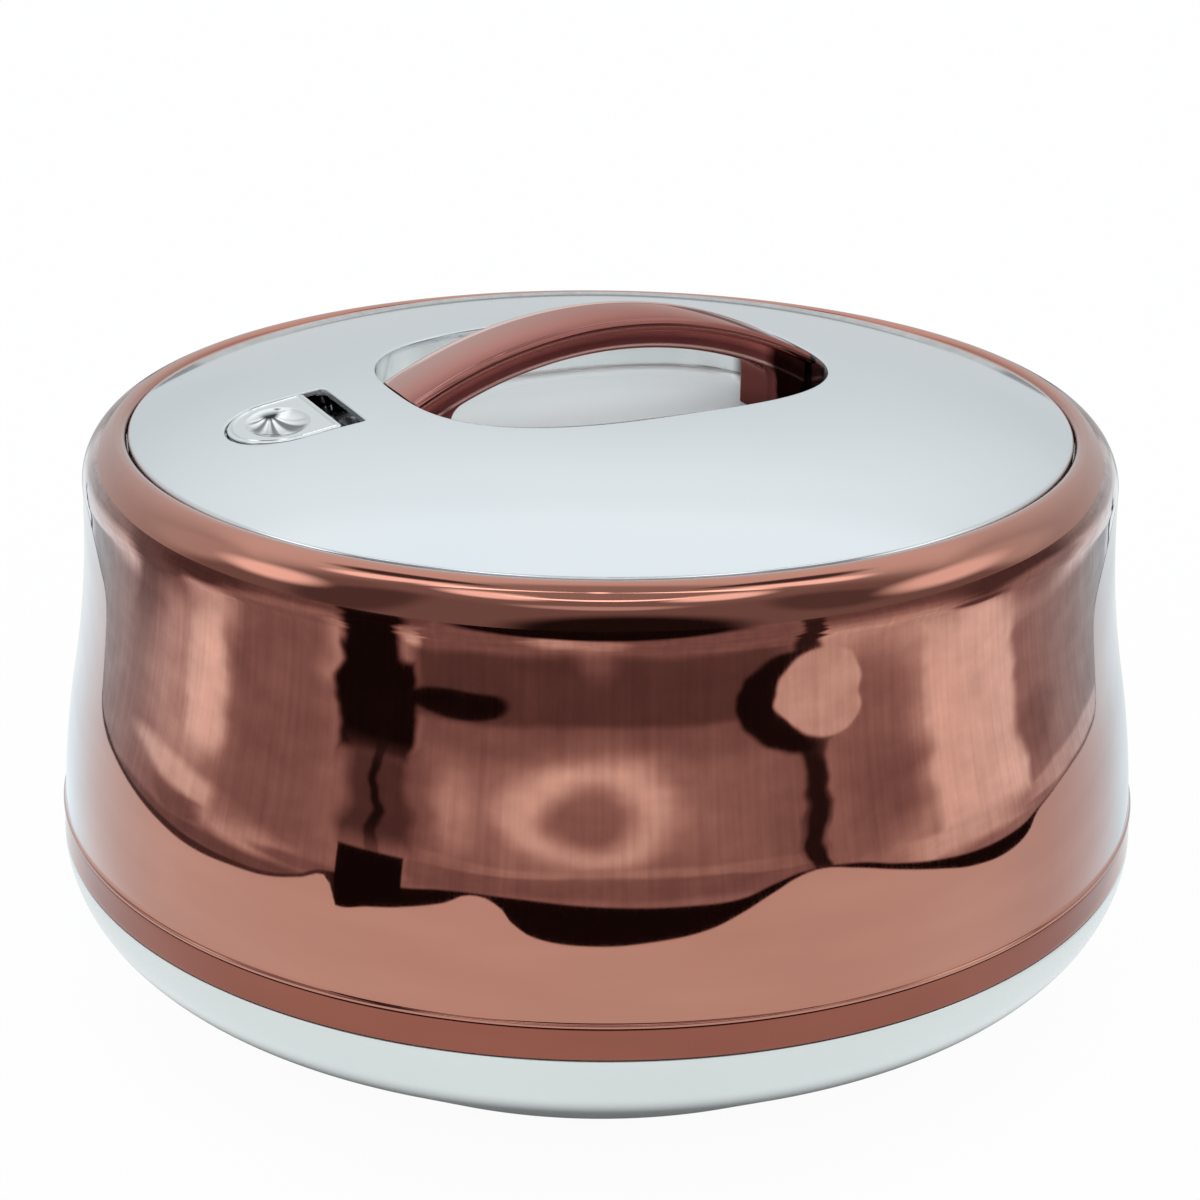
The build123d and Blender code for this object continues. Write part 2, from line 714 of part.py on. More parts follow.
# gasket: web under the frame, a bead that lies on the pot's flange and a rib in the frame
with BuildPart() as lid_gasket:
    with BuildSketch(Plane.XZ) as gasket_section:
        with BuildLine():
            Polyline(
                (gasket_inner, frame_bottom),
                (gasket_inner, gasket_web_bottom),
                (gasket_bead_inner, gasket_web_bottom),
                (gasket_bead_inner, flange_top),
                (gasket_bead_outer, flange_top),
                (gasket_bead_outer, gasket_web_bottom),
                (gasket_outer, gasket_web_bottom),
                (gasket_outer, frame_bottom),
                (gasket_rib_outer, frame_bottom),
                (gasket_rib_outer, frame_bottom + gasket_rib_height),
                (gasket_rib_inner, frame_bottom + gasket_rib_height),
                (gasket_rib_inner, frame_bottom),
                close=True,
            )
        make_face()
        fillet(gasket_section.vertices().group_by(Axis.Y)[0], gasket_edge_round)
    revolve(axis=Axis.Z)

lid_gasket.part.label = "lid_gasket"
export_step(lid_gasket.part, "parts/lid_gasket.step")

# inner plate: shallow steel dish that closes the lid from below, with the vent's hole
with BuildPart() as lid_inner_plate:
    with BuildSketch(Plane.XZ):
        with BuildLine():
            plate_line()
            offset(amount=plate_sheet, side=Side.LEFT)
        make_face()
    revolve(axis=Axis.Z)
    with BuildSketch(Plane.XY.offset(plate_bottom)):
        with Locations((vent_hole.X, 0)):
            Circle(grommet_hole_radius)
    extrude(amount=2 * plate_sheet, mode=Mode.SUBTRACT)

lid_inner_plate.part.label = "lid_inner_plate"
export_step(lid_inner_plate.part, "parts/lid_inner_plate.step")

# foam inside the lid, moulded round the well, the vent and the handle's screws
with BuildPart() as lid_foam:
    add(dome_solid(frame_inner - foam_gap, panel_sheet + foam_gap, frame_bottom + foam_gap))
    with BuildSketch(Plane.XZ):
        add(inside_of(plate_line, plate_sheet + foam_gap, Side.LEFT))
        Rectangle(
            plate_radius - plate_draft - plate_sheet,
            above_lid,
            align=(Align.MIN, Align.MIN),
            mode=Mode.INTERSECT,
        )
    revolve(axis=Axis.Z)
    with BuildSketch(Plane.XY.offset(well_floor - well_wall - foam_gap)):
        add(well_outline(well_wall + foam_gap))
    extrude(amount=above_lid - well_floor, mode=Mode.SUBTRACT)
    with BuildSketch(Plane.XY.offset(dome_z(well_half_length + well_flange) - 2 * well_flange)):
        add(well_outline(well_flange + foam_gap))
    extrude(amount=above_lid - well_floor, mode=Mode.SUBTRACT)
    with BuildSketch(Plane.XY.offset(well_floor - well_wall - screw_head_height - 2 * foam_gap)):
        with Locations((-handle_screw_x, 0), (handle_screw_x, 0)):
            Circle(screw_head_radius + foam_gap)
    extrude(amount=well_wall + screw_head_height, mode=Mode.SUBTRACT)
    with BuildSketch(vent_plane.offset(-chamber_depth - cap_thickness - foam_gap)):
        add(bullet(recess_half_width + tray_sheet + foam_gap, recess_tail + tray_sheet + foam_gap))
    extrude(amount=2 * chamber_depth, mode=Mode.SUBTRACT)
    with BuildSketch(Plane.XY.offset(plate_bottom)):
        with Locations((vent_hole.X, 0)):
            Circle(grommet_radius + foam_gap)
    extrude(amount=chamber_depth * 2, mode=Mode.SUBTRACT)

lid_foam.part.label = "lid_foam"
export_step(lid_foam.part, "parts/lid_foam.step")


# ================================================================ handle
def handle_section():
    """Cross section of the handle's top cover, at the crown of the arch."""
    edge_z = handle_crown - cover_crown
    with BuildSketch(Plane.YZ) as section:
        with BuildLine():
            ThreePointArc((-handle_half_width, edge_z), (0, handle_crown), (handle_half_width, edge_z))
            Polyline(
                (handle_half_width, edge_z),
                (handle_half_width, edge_z - cover_depth),
                (-handle_half_width, edge_z - cover_depth),
                (-handle_half_width, edge_z),
            )
        make_face()
        fillet(section.vertices(), cover_side_round)
        for side in (-1, 1):
            for inset in (ridge_inset, ridge_inset + ridge_pitch):
                reach = handle_half_width - inset
                sag = cover_crown * (reach / handle_half_width) ** 2
                with Locations((side * reach, handle_crown - sag)):
                    Circle(ridge_radius)
    return section.sketch


arch_axis = Axis((0, 0, handle_centre_z), (0, 1, 0))
cover_underside = handle_arc - cover_crown - cover_depth
core_underside_radius = cover_underside - core_depth

# top cover: a crowned band swept along the arch, with a rib that snaps into the core
with BuildPart() as handle_cover:
    add(handle_section())
    with BuildSketch(Plane.YZ):
        with Locations((0, handle_centre_z + cover_underside)):
            Rectangle(2 * rib_half_width, rib_depth, align=(Align.CENTER, Align.MAX))
    revolve(axis=arch_axis)
    with BuildSketch(Plane.XY.offset(well_floor)):
        add(well_outline(-handle_end_gap))
    extrude(amount=above_lid - well_floor, mode=Mode.INTERSECT)

handle_cover.part.label = "handle_cover"
export_step(handle_cover.part, "parts/handle_cover.step")

# the finger opening in the side view: the space between the legs, under the arch
with BuildSketch() as grip:
    with Locations((0, handle_centre_z)):
        Circle(core_underside_radius)
    with Locations((0, well_floor)):
        Rectangle(2 * leg_inner, handle_crown, align=(Align.CENTER, Align.MIN), mode=Mode.INTERSECT)
    fillet(grip.vertices().group_by(Axis.Y)[-1], leg_fillet)
grip_opening = grip.sketch

# core: the narrower arch under the cover, with a leg at each end that stands on the well's floor
with BuildPart() as handle_core:
    core_top = cover_underside - seat_gap
    arch_end = well_half_length - 2 * handle_end_gap
    with BuildSketch(Plane.XZ) as core_side:
        with Locations((0, handle_centre_z)):
            Circle(core_top)
        with BuildLine():
            Polyline(
                (-leg_foot_outer, well_floor),
                (-arch_end, dome_z(well_half_length) - core_depth),
                (-arch_end, handle_crown),
                (arch_end, handle_crown),
                (arch_end, dome_z(well_half_length) - core_depth),
                (leg_foot_outer, well_floor),
                close=True,
            )
        make_face(mode=Mode.INTERSECT)
        add(grip_opening, mode=Mode.SUBTRACT)
    extrude(amount=core_half_width, both=True)
    underside = core_underside_radius - seat_gap, core_underside_radius + seat_gap
    arcs = handle_core.edges().filter_by(GeomType.CIRCLE)
    fillet([arc for arc in arcs if underside[0] < arc.radius < underside[1]], core_side_round)
    with BuildSketch(Plane.YZ):
        with Locations((0, handle_centre_z + cover_underside)):
            Rectangle(
                2 * (rib_half_width + seat_gap),
                rib_depth + seat_gap,
                align=(Align.CENTER, Align.MAX),
            )
    revolve(axis=arch_axis, mode=Mode.SUBTRACT)
    with BuildSketch(Plane.XY.offset(well_floor)):
        with Locations((-handle_screw_x, 0), (handle_screw_x, 0)):
            Circle(screw_radius + screw_gap)
    extrude(amount=handle_screw_length - well_wall + seat_gap, mode=Mode.SUBTRACT)

handle_core.part.label = "handle_core"
export_step(handle_core.part, "parts/handle_core.step")

# two screws that come up through the well's floor into the legs
with BuildPart() as handle_screws:
    with Locations((-handle_screw_x, 0, well_floor - well_wall), (handle_screw_x, 0, well_floor - well_wall)):
        add(pan_screw(screw_radius, handle_screw_length, screw_head_radius, screw_head_height))

handle_screws.part.label = "handle_screws"
export_step(handle_screws.part, "parts/handle_screws.step")

# ================================================================ vent
# tray: the recess the slider runs in, with a slot for its stem and the steam hole
with BuildPart() as vent_tray:
    with BuildSketch(vent_plane.offset(-chamber_depth)):
        add(bullet(recess_half_width + tray_sheet, recess_tail + tray_sheet))
    extrude(amount=2 * chamber_depth)
    add(under_panel, mode=Mode.INTERSECT)
    with BuildSketch(vent_plane.offset(-tray_depth)):
        add(bullet(recess_half_width, recess_tail))
    extrude(amount=2 * tray_depth, mode=Mode.SUBTRACT)
    with BuildSketch(vent_plane.offset(-tray_depth - tray_sheet)):
        add(bullet(recess_half_width, recess_tail))
    extrude(amount=-chamber_depth, mode=Mode.SUBTRACT)
    with BuildSketch(vent_plane.offset(-tray_depth)):
        with Locations((stem_x - stem_length / 2 - slide_gap, 0)):
            Rectangle(
                stem_length + vent_travel + 2 * slide_gap,
                stem_width + 2 * slide_gap,
                align=(Align.MIN, Align.CENTER),
            )
    extrude(amount=-2 * tray_sheet, mode=Mode.SUBTRACT)
    with BuildSketch(Plane.XY.offset(vent_hole.Z)):
        with Locations((vent_hole.X, 0)):
            Circle(vent_hole_radius)
    extrude(amount=2 * tray_sheet, both=True, mode=Mode.SUBTRACT)

vent_tray.part.label = "vent_tray"
export_step(vent_tray.part, "parts/vent_tray.step")

# cap: closes the tray's chamber against the foam, with a hole for the steam tube
with BuildPart() as vent_cap:
    with BuildSketch(vent_plane.offset(-chamber_depth)):
        add(bullet(recess_half_width + tray_sheet, recess_tail + tray_sheet))
    extrude(amount=-cap_thickness)
    with BuildSketch(Plane.XY.offset(plate_bottom)):
        with Locations((vent_hole.X, 0)):
            Circle(tube_radius + seat_gap)
    extrude(amount=above_lid - plate_bottom, mode=Mode.SUBTRACT)

vent_cap.part.label = "vent_cap"
export_step(vent_cap.part, "parts/vent_cap.step")

# the finger dish is cut by a spindle that lies across the slider, above its top face
dish_axis_height = (dish_half_length**2 - dish_depth**2) / (2 * dish_depth)
dish_plane = Plane(
    origin=vent_plane.from_local_coords((dish_x, 0, -slider_top_drop)),
    x_dir=(0, 1, 0),
    z_dir=vent_plane.x_dir,
)

# slider: round-ended plate with a raised lip, a finger dish, a pad pocket and a stem
with BuildPart() as vent_slider:
    slider_bottom = tray_depth - slide_gap
    with BuildSketch(vent_plane.offset(-slider_bottom)):
        add(bullet(recess_half_width - slide_gap, slider_tail))
    extrude(amount=slider_bottom - slider_top_drop)
    with BuildSketch(vent_plane.offset(-slider_top_drop)):
        lip_outer = recess_half_width - slide_gap - slider_lip_inset
        add(bullet(lip_outer, slider_tail - slider_lip_inset))
        add(
            bullet(lip_outer - slider_lip_width, slider_tail - slider_lip_inset - slider_lip_width),
            mode=Mode.SUBTRACT,
        )
    extrude(amount=slider_lip_height)
    with BuildSketch(dish_plane):
        with BuildLine():
            ThreePointArc((-dish_half_width, 0), (0, -dish_depth), (dish_half_width, 0))
            Polyline(
                (dish_half_width, 0),
                (dish_half_width, dish_axis_height),
                (-dish_half_width, dish_axis_height),
                (-dish_half_width, 0),
            )
        make_face()
    revolve(axis=Axis(dish_plane.from_local_coords((0, dish_axis_height, 0)), (0, 1, 0)), mode=Mode.SUBTRACT)
    with BuildSketch(vent_plane.offset(-slider_bottom)):
        with Locations((vent_hole_x, 0)):
            Circle(vent_pad_radius + seat_gap)
    extrude(amount=vent_pad_pocket, mode=Mode.SUBTRACT)
    with BuildSketch(vent_plane.offset(-slider_bottom)):
        with Locations((stem_x, 0)):
            Rectangle(stem_length, stem_width)
    extrude(amount=-tray_sheet - 2 * slide_gap)
    with BuildSketch(vent_plane.offset(-slider_bottom - tray_sheet - 2 * slide_gap)):
        with Locations((stem_x, 0)):
            Circle(clip_screw_radius + screw_gap)
    extrude(amount=clip_screw_length - clip_thickness + screw_gap, mode=Mode.SUBTRACT)

vent_slider.part.label = "vent_slider"
export_step(vent_slider.part, "parts/vent_slider.step")

# silicone pad in the slider's pocket, which closes the steam hole
with BuildPart() as vent_pad:
    with BuildSketch(vent_plane.offset(-tray_depth + vent_pad_gap)):
        with Locations((vent_hole_x, 0)):
            Circle(vent_pad_radius)
    extrude(amount=vent_pad_pocket + slide_gap - vent_pad_gap)

vent_pad.part.label = "vent_pad"
export_step(vent_pad.part, "parts/vent_pad.step")

# retaining clip under the tray's floor, on the end of the stem
with BuildPart() as slider_clip:
    clip_top = slider_bottom + tray_sheet + 2 * slide_gap
    with BuildSketch(vent_plane.offset(-clip_top)):
        with Locations((stem_x, 0)):
            Rectangle(clip_length, clip_width)
            Circle(clip_screw_radius + screw_gap, mode=Mode.SUBTRACT)
    extrude(amount=-clip_thickness)
    fillet(slider_clip.edges().filter_by(Axis(vent_plane.origin, vent_plane.z_dir)), clip_corner)

slider_clip.part.label = "slider_clip"
export_step(slider_clip.part, "parts/slider_clip.step")

# the clip's screw
with BuildPart() as clip_screw:
    with Locations(vent_plane.offset(-clip_top - clip_thickness)):
        with Locations((stem_x, 0)):
            add(pan_screw(clip_screw_radius, clip_screw_length, clip_head_radius, clip_head_height))

clip_screw.part.label = "clip_screw"
export_step(clip_screw.part, "parts/clip_screw.step")

# steam tube from under the inner plate up to the tray's floor
with BuildPart() as vent_tube:
    with BuildSketch(Plane.XY.offset(plate_bottom - tube_below_plate)):
        with Locations((vent_hole.X, 0)):
            Circle(tube_radius)
            Circle(tube_bore, mode=Mode.SUBTRACT)
    extrude(amount=above_lid - plate_bottom)
    split(bisect_by=vent_plane.offset(-tray_depth - tray_sheet - seat_gap), keep=Keep.BOTTOM)

vent_tube.part.label = "vent_tube"
export_step(vent_tube.part, "parts/vent_tube.step")

# grommet that seals the tube in the inner plate
with BuildPart() as vent_grommet:
    groove_middle = plate_bottom + plate_sheet / 2
    with BuildSketch(Plane.XZ):
        with Locations((vent_hole.X + tube_radius + seat_gap, groove_middle)):
            Rectangle(
                grommet_radius - tube_radius - seat_gap,
                grommet_thickness,
                align=(Align.MIN, Align.CENTER),
            )
        with Locations((vent_hole.X + grommet_hole_radius - seat_gap, groove_middle)):
            Rectangle(
                grommet_radius,
                plate_sheet + 2 * seat_gap,
                align=(Align.MIN, Align.CENTER),
                mode=Mode.SUBTRACT,
            )
    revolve(axis=Axis((vent_hole.X, 0, 0), (0, 0, 1)))

vent_grommet.part.label = "vent_grommet"
export_step(vent_grommet.part, "parts/vent_grommet.step")
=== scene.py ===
"""Looks for an insulated casserole with a rose-gold shell, a bright domed lid and a bridging handle.

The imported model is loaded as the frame. The polished outer pieces are remade here as smooth
surfaces on the same sizes, in millimetres until they are put into a mesh, and every piece that is
carried over from the frame gets its own finish.
"""

import json
import math

import bpy
import bmesh
import numpy as np
from mathutils import Euler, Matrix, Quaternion


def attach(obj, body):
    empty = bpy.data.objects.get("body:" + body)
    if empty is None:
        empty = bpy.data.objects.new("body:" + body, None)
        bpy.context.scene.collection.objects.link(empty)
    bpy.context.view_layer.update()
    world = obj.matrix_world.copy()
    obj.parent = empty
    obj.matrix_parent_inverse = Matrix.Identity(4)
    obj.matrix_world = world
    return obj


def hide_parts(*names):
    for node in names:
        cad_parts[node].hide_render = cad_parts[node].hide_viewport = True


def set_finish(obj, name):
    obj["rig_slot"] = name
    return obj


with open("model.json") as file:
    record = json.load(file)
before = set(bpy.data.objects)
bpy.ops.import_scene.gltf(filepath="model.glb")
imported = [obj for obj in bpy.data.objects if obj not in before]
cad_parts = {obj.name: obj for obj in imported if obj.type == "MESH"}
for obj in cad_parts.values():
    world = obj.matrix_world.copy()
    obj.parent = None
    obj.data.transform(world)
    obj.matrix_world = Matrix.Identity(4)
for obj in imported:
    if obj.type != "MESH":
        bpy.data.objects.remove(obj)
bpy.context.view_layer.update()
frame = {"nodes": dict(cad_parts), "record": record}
cad_nodes = frame["nodes"]

MM = 0.001
TURN = 2 * math.pi
WELD, SHARP = 1e-6, math.radians(35.0)

# ---------------------------------------------------------------- sizes, in millimetres
base_radius, base_top, base_wall, base_edge = 145.7, 43.75, 2.0, 0.3
foot_z, foot_radius, foot_round = 1.0, 103.0, 3.0
flank_degrees, bowl_round = 34.6, 25.3
recess_radius, recess_z, pour_radius = 70.4, 3.2, 48.0
band_low, band_high, band_top_radius, band_sheet, band_edge = 44.05, 51.7, 145.3, 0.8, 0.25
shell_low, shell_foot_radius, shell_sheet = 52.0, 145.0, 0.8
waist_radius, waist_z = 140.37, 88.0
shell_top_radius, shoulder_z, shoulder_round = 135.2, 139.5, 13.8
roll_round, skirt_radius, flange_z = 2.5, 123.4, 142.0
lip_round, lip_out = 0.5, 0.1
lid_radius, lid_edge_z, dome_rise, dome_power = 123.0, 151.7, 13.5, 3.5
panel_round, panel_low = 0.8, 145.0
well_length, well_width, well_power = 57.6, 46.8, 2.75
well_floor, well_round, well_lap, well_gap = 147.2, 3.5, 0.6, 0.6
opening_round, opening_depth = 0.5, 1.2
arch_radius, arch_z = 116.0, 63.0
cover_half, cover_crown, cover_edge, cover_round = 12.0, 0.5, 2.1, 0.9
ridge_places, ridge_width, ridge_height = (10.1, 9.2), 0.28, 0.22
core_half, core_top, core_under, core_round = 9.0, 113.3, 107.6, 2.0
leg_inner, leg_fillet, leg_foot_outer, leg_top_outer, leg_bend = 46.0, 6.0, 53.3, 56.4, 4.5
vent_x, recess_half, recess_tail, recess_corner = -87.0, 15.2, 15.6, 1.5
slider_gap, slider_tail, slider_drop, slider_low, slider_waist, slider_round = 0.3, 9.5, 0.3, 4.7, 2.5, 0.35
rib_inset, rib_half, rib_height, rib_outside, rib_inside = 1.25, 0.4, 0.3, 0.1, 0.15
dish_x, dish_length, dish_width, dish_depth = -2.3, 7.8, 11.0, 2.4
dish_shares = (1.03, 1.0, 0.97, 0.93, 0.88, 0.8, 0.7, 0.6, 0.5, 0.4, 0.3, 0.2, 0.1, 0.0)
pot_sheet, pot_mouth, pot_floor_radius, pot_floor = 0.6, 110.6, 103.0, 28.4
pot_floor_round, pot_mouth_round, pot_flange = 24.0, 2.4, 125.0


# ---------------------------------------------------------------- lines in the half section
def unit(angle):
    """Directions in a plane: (cos a, sin a)."""
    return np.column_stack((np.cos(angle), np.sin(angle)))


def arc(centre, radius, start, stop, count):
    """Points on a circle: centre + radius * (cos a, sin a), a running from start to stop degrees."""
    return np.array(centre) + radius * unit(np.radians(np.linspace(start, stop, count)))


def quarter(degrees):
    """What is left of a quarter circle's reach and what it has dropped: (1 - sin b, 1 - cos b)."""
    return [(1 - math.sin(beta), 1 - math.cos(beta)) for beta in np.radians(degrees)]


def at_height(plan, height):
    """Points over a plan of (x, y), at one height or at a height each."""
    return np.column_stack((plan, np.broadcast_to(height, len(plan))))


def rounded_line(corners, radii, count=24):
    """A run of straight lines whose inner corners are arcs, each tangent to its two sides."""
    corners = [np.array(corner, float) for corner in corners]
    line = [corners[0][None]]
    for before, corner, after, radius in zip(corners, corners[1:], corners[2:], radii):
        back = (before - corner) / np.linalg.norm(before - corner)
        on = (after - corner) / np.linalg.norm(after - corner)
        half = math.acos(float(back @ on)) / 2
        centre = corner + (back + on) / np.linalg.norm(back + on) * radius / math.sin(half)
        ends = corner + np.array((back, on)) * radius / math.tan(half) - centre
        first, last = np.degrees(np.arctan2(ends[:, 1], ends[:, 0]))
        last = first + (last - first + 180) % 360 - 180
        line.append(arc(centre, radius, first, last, count))
    line.append(corners[-1][None])
    return np.vstack(line)


def moved_line(line, amount):
    """The line moved sideways by an amount, along its own normals, to the left of its run."""
    run = np.gradient(line, axis=0)
    run /= np.linalg.norm(run, axis=1)[:, None]
    return line + amount * np.column_stack((-run[:, 1], run[:, 0]))


def subdivided(line, step):
    """The same line with its straight runs cut into steps no longer than one given length."""
    cuts = [line[:1]]
    for start, stop in zip(line, line[1:]):
        count = max(1, int(math.ceil(np.linalg.norm(stop - start) / step)))
        cuts.append(start + (stop - start) * np.linspace(0, 1, count + 1)[1:, None])
    return np.vstack(cuts)


# ---------------------------------------------------------------- grids and meshes
def grid_faces(rows, columns, wrap_rows=False, wrap_columns=True):
    """Quads of a grid of points, wound so that columns' way x rows' way points out."""
    row = np.arange(rows if wrap_rows else rows - 1)
    column = np.arange(columns if wrap_columns else columns - 1)
    i, j = (part.ravel() for part in np.meshgrid(row, column, indexing="ij"))
    up, on = (i + 1) % rows, (j + 1) % columns
    return np.column_stack((i * columns + j, i * columns + on, up * columns + on, up * columns + j))


def revolved(line, segments=384):
    """Surface of revolution: (r cos u, r sin u, z) for a closed line of (r, z) and u once round."""
    plan = line[:, 0, None, None] * unit(np.linspace(0, TURN, segments, endpoint=False))
    points = np.dstack((plan, np.broadcast_to(line[:, 1, None], plan.shape[:2])))
    return points.reshape(-1, 3), grid_faces(len(line), segments, wrap_rows=True).tolist()


def make_piece(name, surface, body, slot, nodes):
    """Puts a surface, given in millimetres, into a mesh and says what it rides on and replaces."""
    points, faces = surface
    mesh = bpy.data.meshes.new(name)
    mesh.from_pydata((points * MM).tolist(), [], faces)
    work = bmesh.new()
    work.from_mesh(mesh)
    bmesh.ops.remove_doubles(work, verts=work.verts, dist=WELD)
    bmesh.ops.dissolve_degenerate(work, edges=work.edges, dist=WELD)
    work.to_mesh(mesh)
    work.free()
    mesh.shade_smooth()
    mesh.set_sharp_from_angle(angle=SHARP)
    piece = bpy.data.objects.new(name, mesh)
    bpy.context.scene.collection.objects.link(piece)
    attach(piece, body)
    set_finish(piece, slot)
    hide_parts(*nodes)
    return piece


# ---------------------------------------------------------------- body surfaces
def wall_line():
    """The shell's wall from its foot up: an arc that eases out and one that hollows the waist."""
    drop, out = shoulder_z - waist_z, waist_radius - shell_top_radius
    upper_radius = (drop**2 + out**2) / (2 * out)
    lean = 2 * math.atan2(out, drop)
    centre = (shell_top_radius + upper_radius, shoulder_z)
    upper = arc(centre, upper_radius, 180 + math.degrees(lean), 180, 60)
    inward = np.array((-math.cos(lean), -math.sin(lean)))
    foot = np.array((shell_foot_radius - waist_radius, shell_low - waist_z))
    lower_radius = float(foot @ foot) / (2 * float(inward @ foot))
    centre = np.array((waist_radius, waist_z)) + lower_radius * inward
    low = math.degrees(math.asin((shell_low - centre[1]) / lower_radius))
    lower = arc(centre, lower_radius, low, math.degrees(lean), 50)
    return np.vstack((lower, upper[1:]))


def shell_section():
    """The shell's closed section: rolled lip, wall, rim shoulder, rim roll, skirt and back down.

    The hidden inside keeps every third point of the outside.
    """
    shoulder_x = shell_top_radius - shoulder_round
    roll_x = skirt_radius + roll_round
    turn = math.acos((roll_x - shoulder_x) / (shoulder_round - roll_round))
    roll_z = shoulder_z + (shoulder_round - roll_round) * math.sin(turn)
    turned = math.degrees(turn)
    outside = np.vstack(
        (
            wall_line(),
            arc((shoulder_x, shoulder_z), shoulder_round, 0, turned, 40)[1:],
            arc((roll_x, roll_z), roll_round, turned, 180, 24)[1:],
            subdivided(np.array(((skirt_radius, roll_z), (skirt_radius, flange_z))), 2.0)[1:],
        )
    )
    inside = moved_line(outside, shell_sheet)[::-1]
    inside = np.vstack((inside[::3], inside[-1:]))
    lip = arc((shell_foot_radius + lip_out, shell_low + lip_round), lip_round, -120, 70, 14)
    return np.vstack((lip, outside[outside[:, 1] > shell_low + 2 * lip_round], inside))


def band_section():
    """The band's closed section: a thin upright strip with softly rounded outer edges."""
    strip = rounded_line(
        (
            (base_radius - band_sheet, band_low),
            (base_radius, band_low),
            (band_top_radius, band_high),
            (band_top_radius - band_sheet, band_high),
        ),
        (band_edge, band_edge),
        8,
    )
    return subdivided(strip, 1.2)


def bowl_section():
    """The base bowl's closed section: recess, flat foot, flank, large round and upright wall."""
    flank_top = foot_z + (base_radius - foot_radius) * math.tan(math.radians(flank_degrees))
    outside = rounded_line(
        (
            (recess_radius, foot_z),
            (foot_radius, foot_z),
            (base_radius, flank_top),
            (base_radius, base_top),
        ),
        (foot_round, bowl_round),
        30,
    )
    outside = subdivided(outside[:-1], 2.0)
    edge = arc((base_radius - base_edge, base_top - base_edge), base_edge, 20, 90, 6)
    inside = moved_line(outside, base_wall)[::-1]
    outside = np.vstack((outside[outside[:, 1] < edge[0, 1]], edge))
    inside = inside[inside[:, 0] > recess_radius + base_wall]
    recess = np.array(
        (
            (recess_radius + base_wall, foot_z + base_wall),
            (recess_radius + base_wall, recess_z + base_wall),
            (pour_radius, recess_z + base_wall),
            (pour_radius, recess_z),
            (recess_radius, recess_z),
        )
    )
    return np.vstack((outside, inside, recess))


def pot_section():
    """The inner pot's closed section: floor, floor round, drafted wall and flange, one sheet."""
    outside = rounded_line(
        (
            (0, pot_floor),
            (pot_floor_radius, pot_floor),
            (pot_mouth, flange_z - pot_sheet),
            (pot_flange, flange_z - pot_sheet),
        ),
        (pot_floor_round, pot_mouth_round),
        30,
    )
    outside = subdivided(outside, 3.0)
    return np.vstack((outside, moved_line(outside, pot_sheet)[::-1]))


# ---------------------------------------------------------------- lid surfaces
def dome(radius):
    """Height of the lid's outer surface: edge + rise * (1 - (r / R) ** power)."""
    return lid_edge_z + dome_rise * (1 - (np.minimum(radius, lid_radius) / lid_radius) ** dome_power)


def well_radius(angle):
    """Distance from the middle to the well's superellipse, in a direction seen from above."""
    across = np.abs(np.cos(angle) / well_length) ** well_power
    along = np.abs(np.sin(angle) / well_width) ** well_power
    return (across + along) ** (-1 / well_power)


def bullet_line(radius, tail, corner, count=96):
    """Closed outline, counterclockwise: a round end on the -x side and a flat end at x = tail."""
    corner = max(corner, 0.05)
    half = arc((tail - corner, -radius + corner), corner, -90, 0, 10)
    other = arc((tail - corner, radius - corner), corner, 0, 90, 10)
    end = np.column_stack((np.full(count, tail), np.linspace(-radius + corner, radius - corner, count)))
    side = np.linspace(tail - corner, 0, count)[1:]
    far = np.column_stack((side, np.full(len(side), radius)))
    near = np.column_stack((side[::-1], np.full(len(side), -radius)))
    return np.vstack((half, end[1:-1], other, far, arc((0, 0), radius, 90, 270, 2 * count)[1:-1], near))


def reach(outline, angle):
    """Distance from the middle to a closed outline in each direction, read off by angle."""
    bearing = np.arctan2(outline[:, 1], outline[:, 0])
    return np.interp(angle, bearing, np.hypot(*outline.T), period=TURN)


vent_lean = math.atan(dome_rise * dome_power / lid_radius * (abs(vent_x) / lid_radius) ** (dome_power - 1))
vent_origin = np.array((vent_x, 0, float(dome(abs(vent_x)))))
vent_axes = np.array(
    (
        (math.cos(vent_lean), 0, math.sin(vent_lean)),
        (0, 1, 0),
        (-math.sin(vent_lean), 0, math.cos(vent_lean)),
    )
)


def at_vent(local):
    """Points given on the vent's leaning plane, put where they are on the lid."""
    return vent_origin + local @ vent_axes


def rolled_rows(direction, edge, size, degrees, side=1):
    """Rows over an edge's quarter circle, in polar rays.

    At an angle b a row lies side * size * (1 - sin b) from the edge, and size * (1 - cos b) lower
    than the dome.
    """
    rows = []
    for left, drop in quarter(degrees):
        ring = edge + side * size * left
        rows.append(at_height(ring[:, None] * direction, dome(ring) - size * drop))
    return rows


def turned_in(rows):
    """The rows of an opening's edge, with the first one drawn down below them."""
    return [rows[0] - (0, 0, opening_depth), *rows]


def turned_down(rows):
    """The rows of the rim, with the last one drawn down to the panel's lower edge."""
    return [*rows, at_height(rows[-1][:, :2], panel_low)]


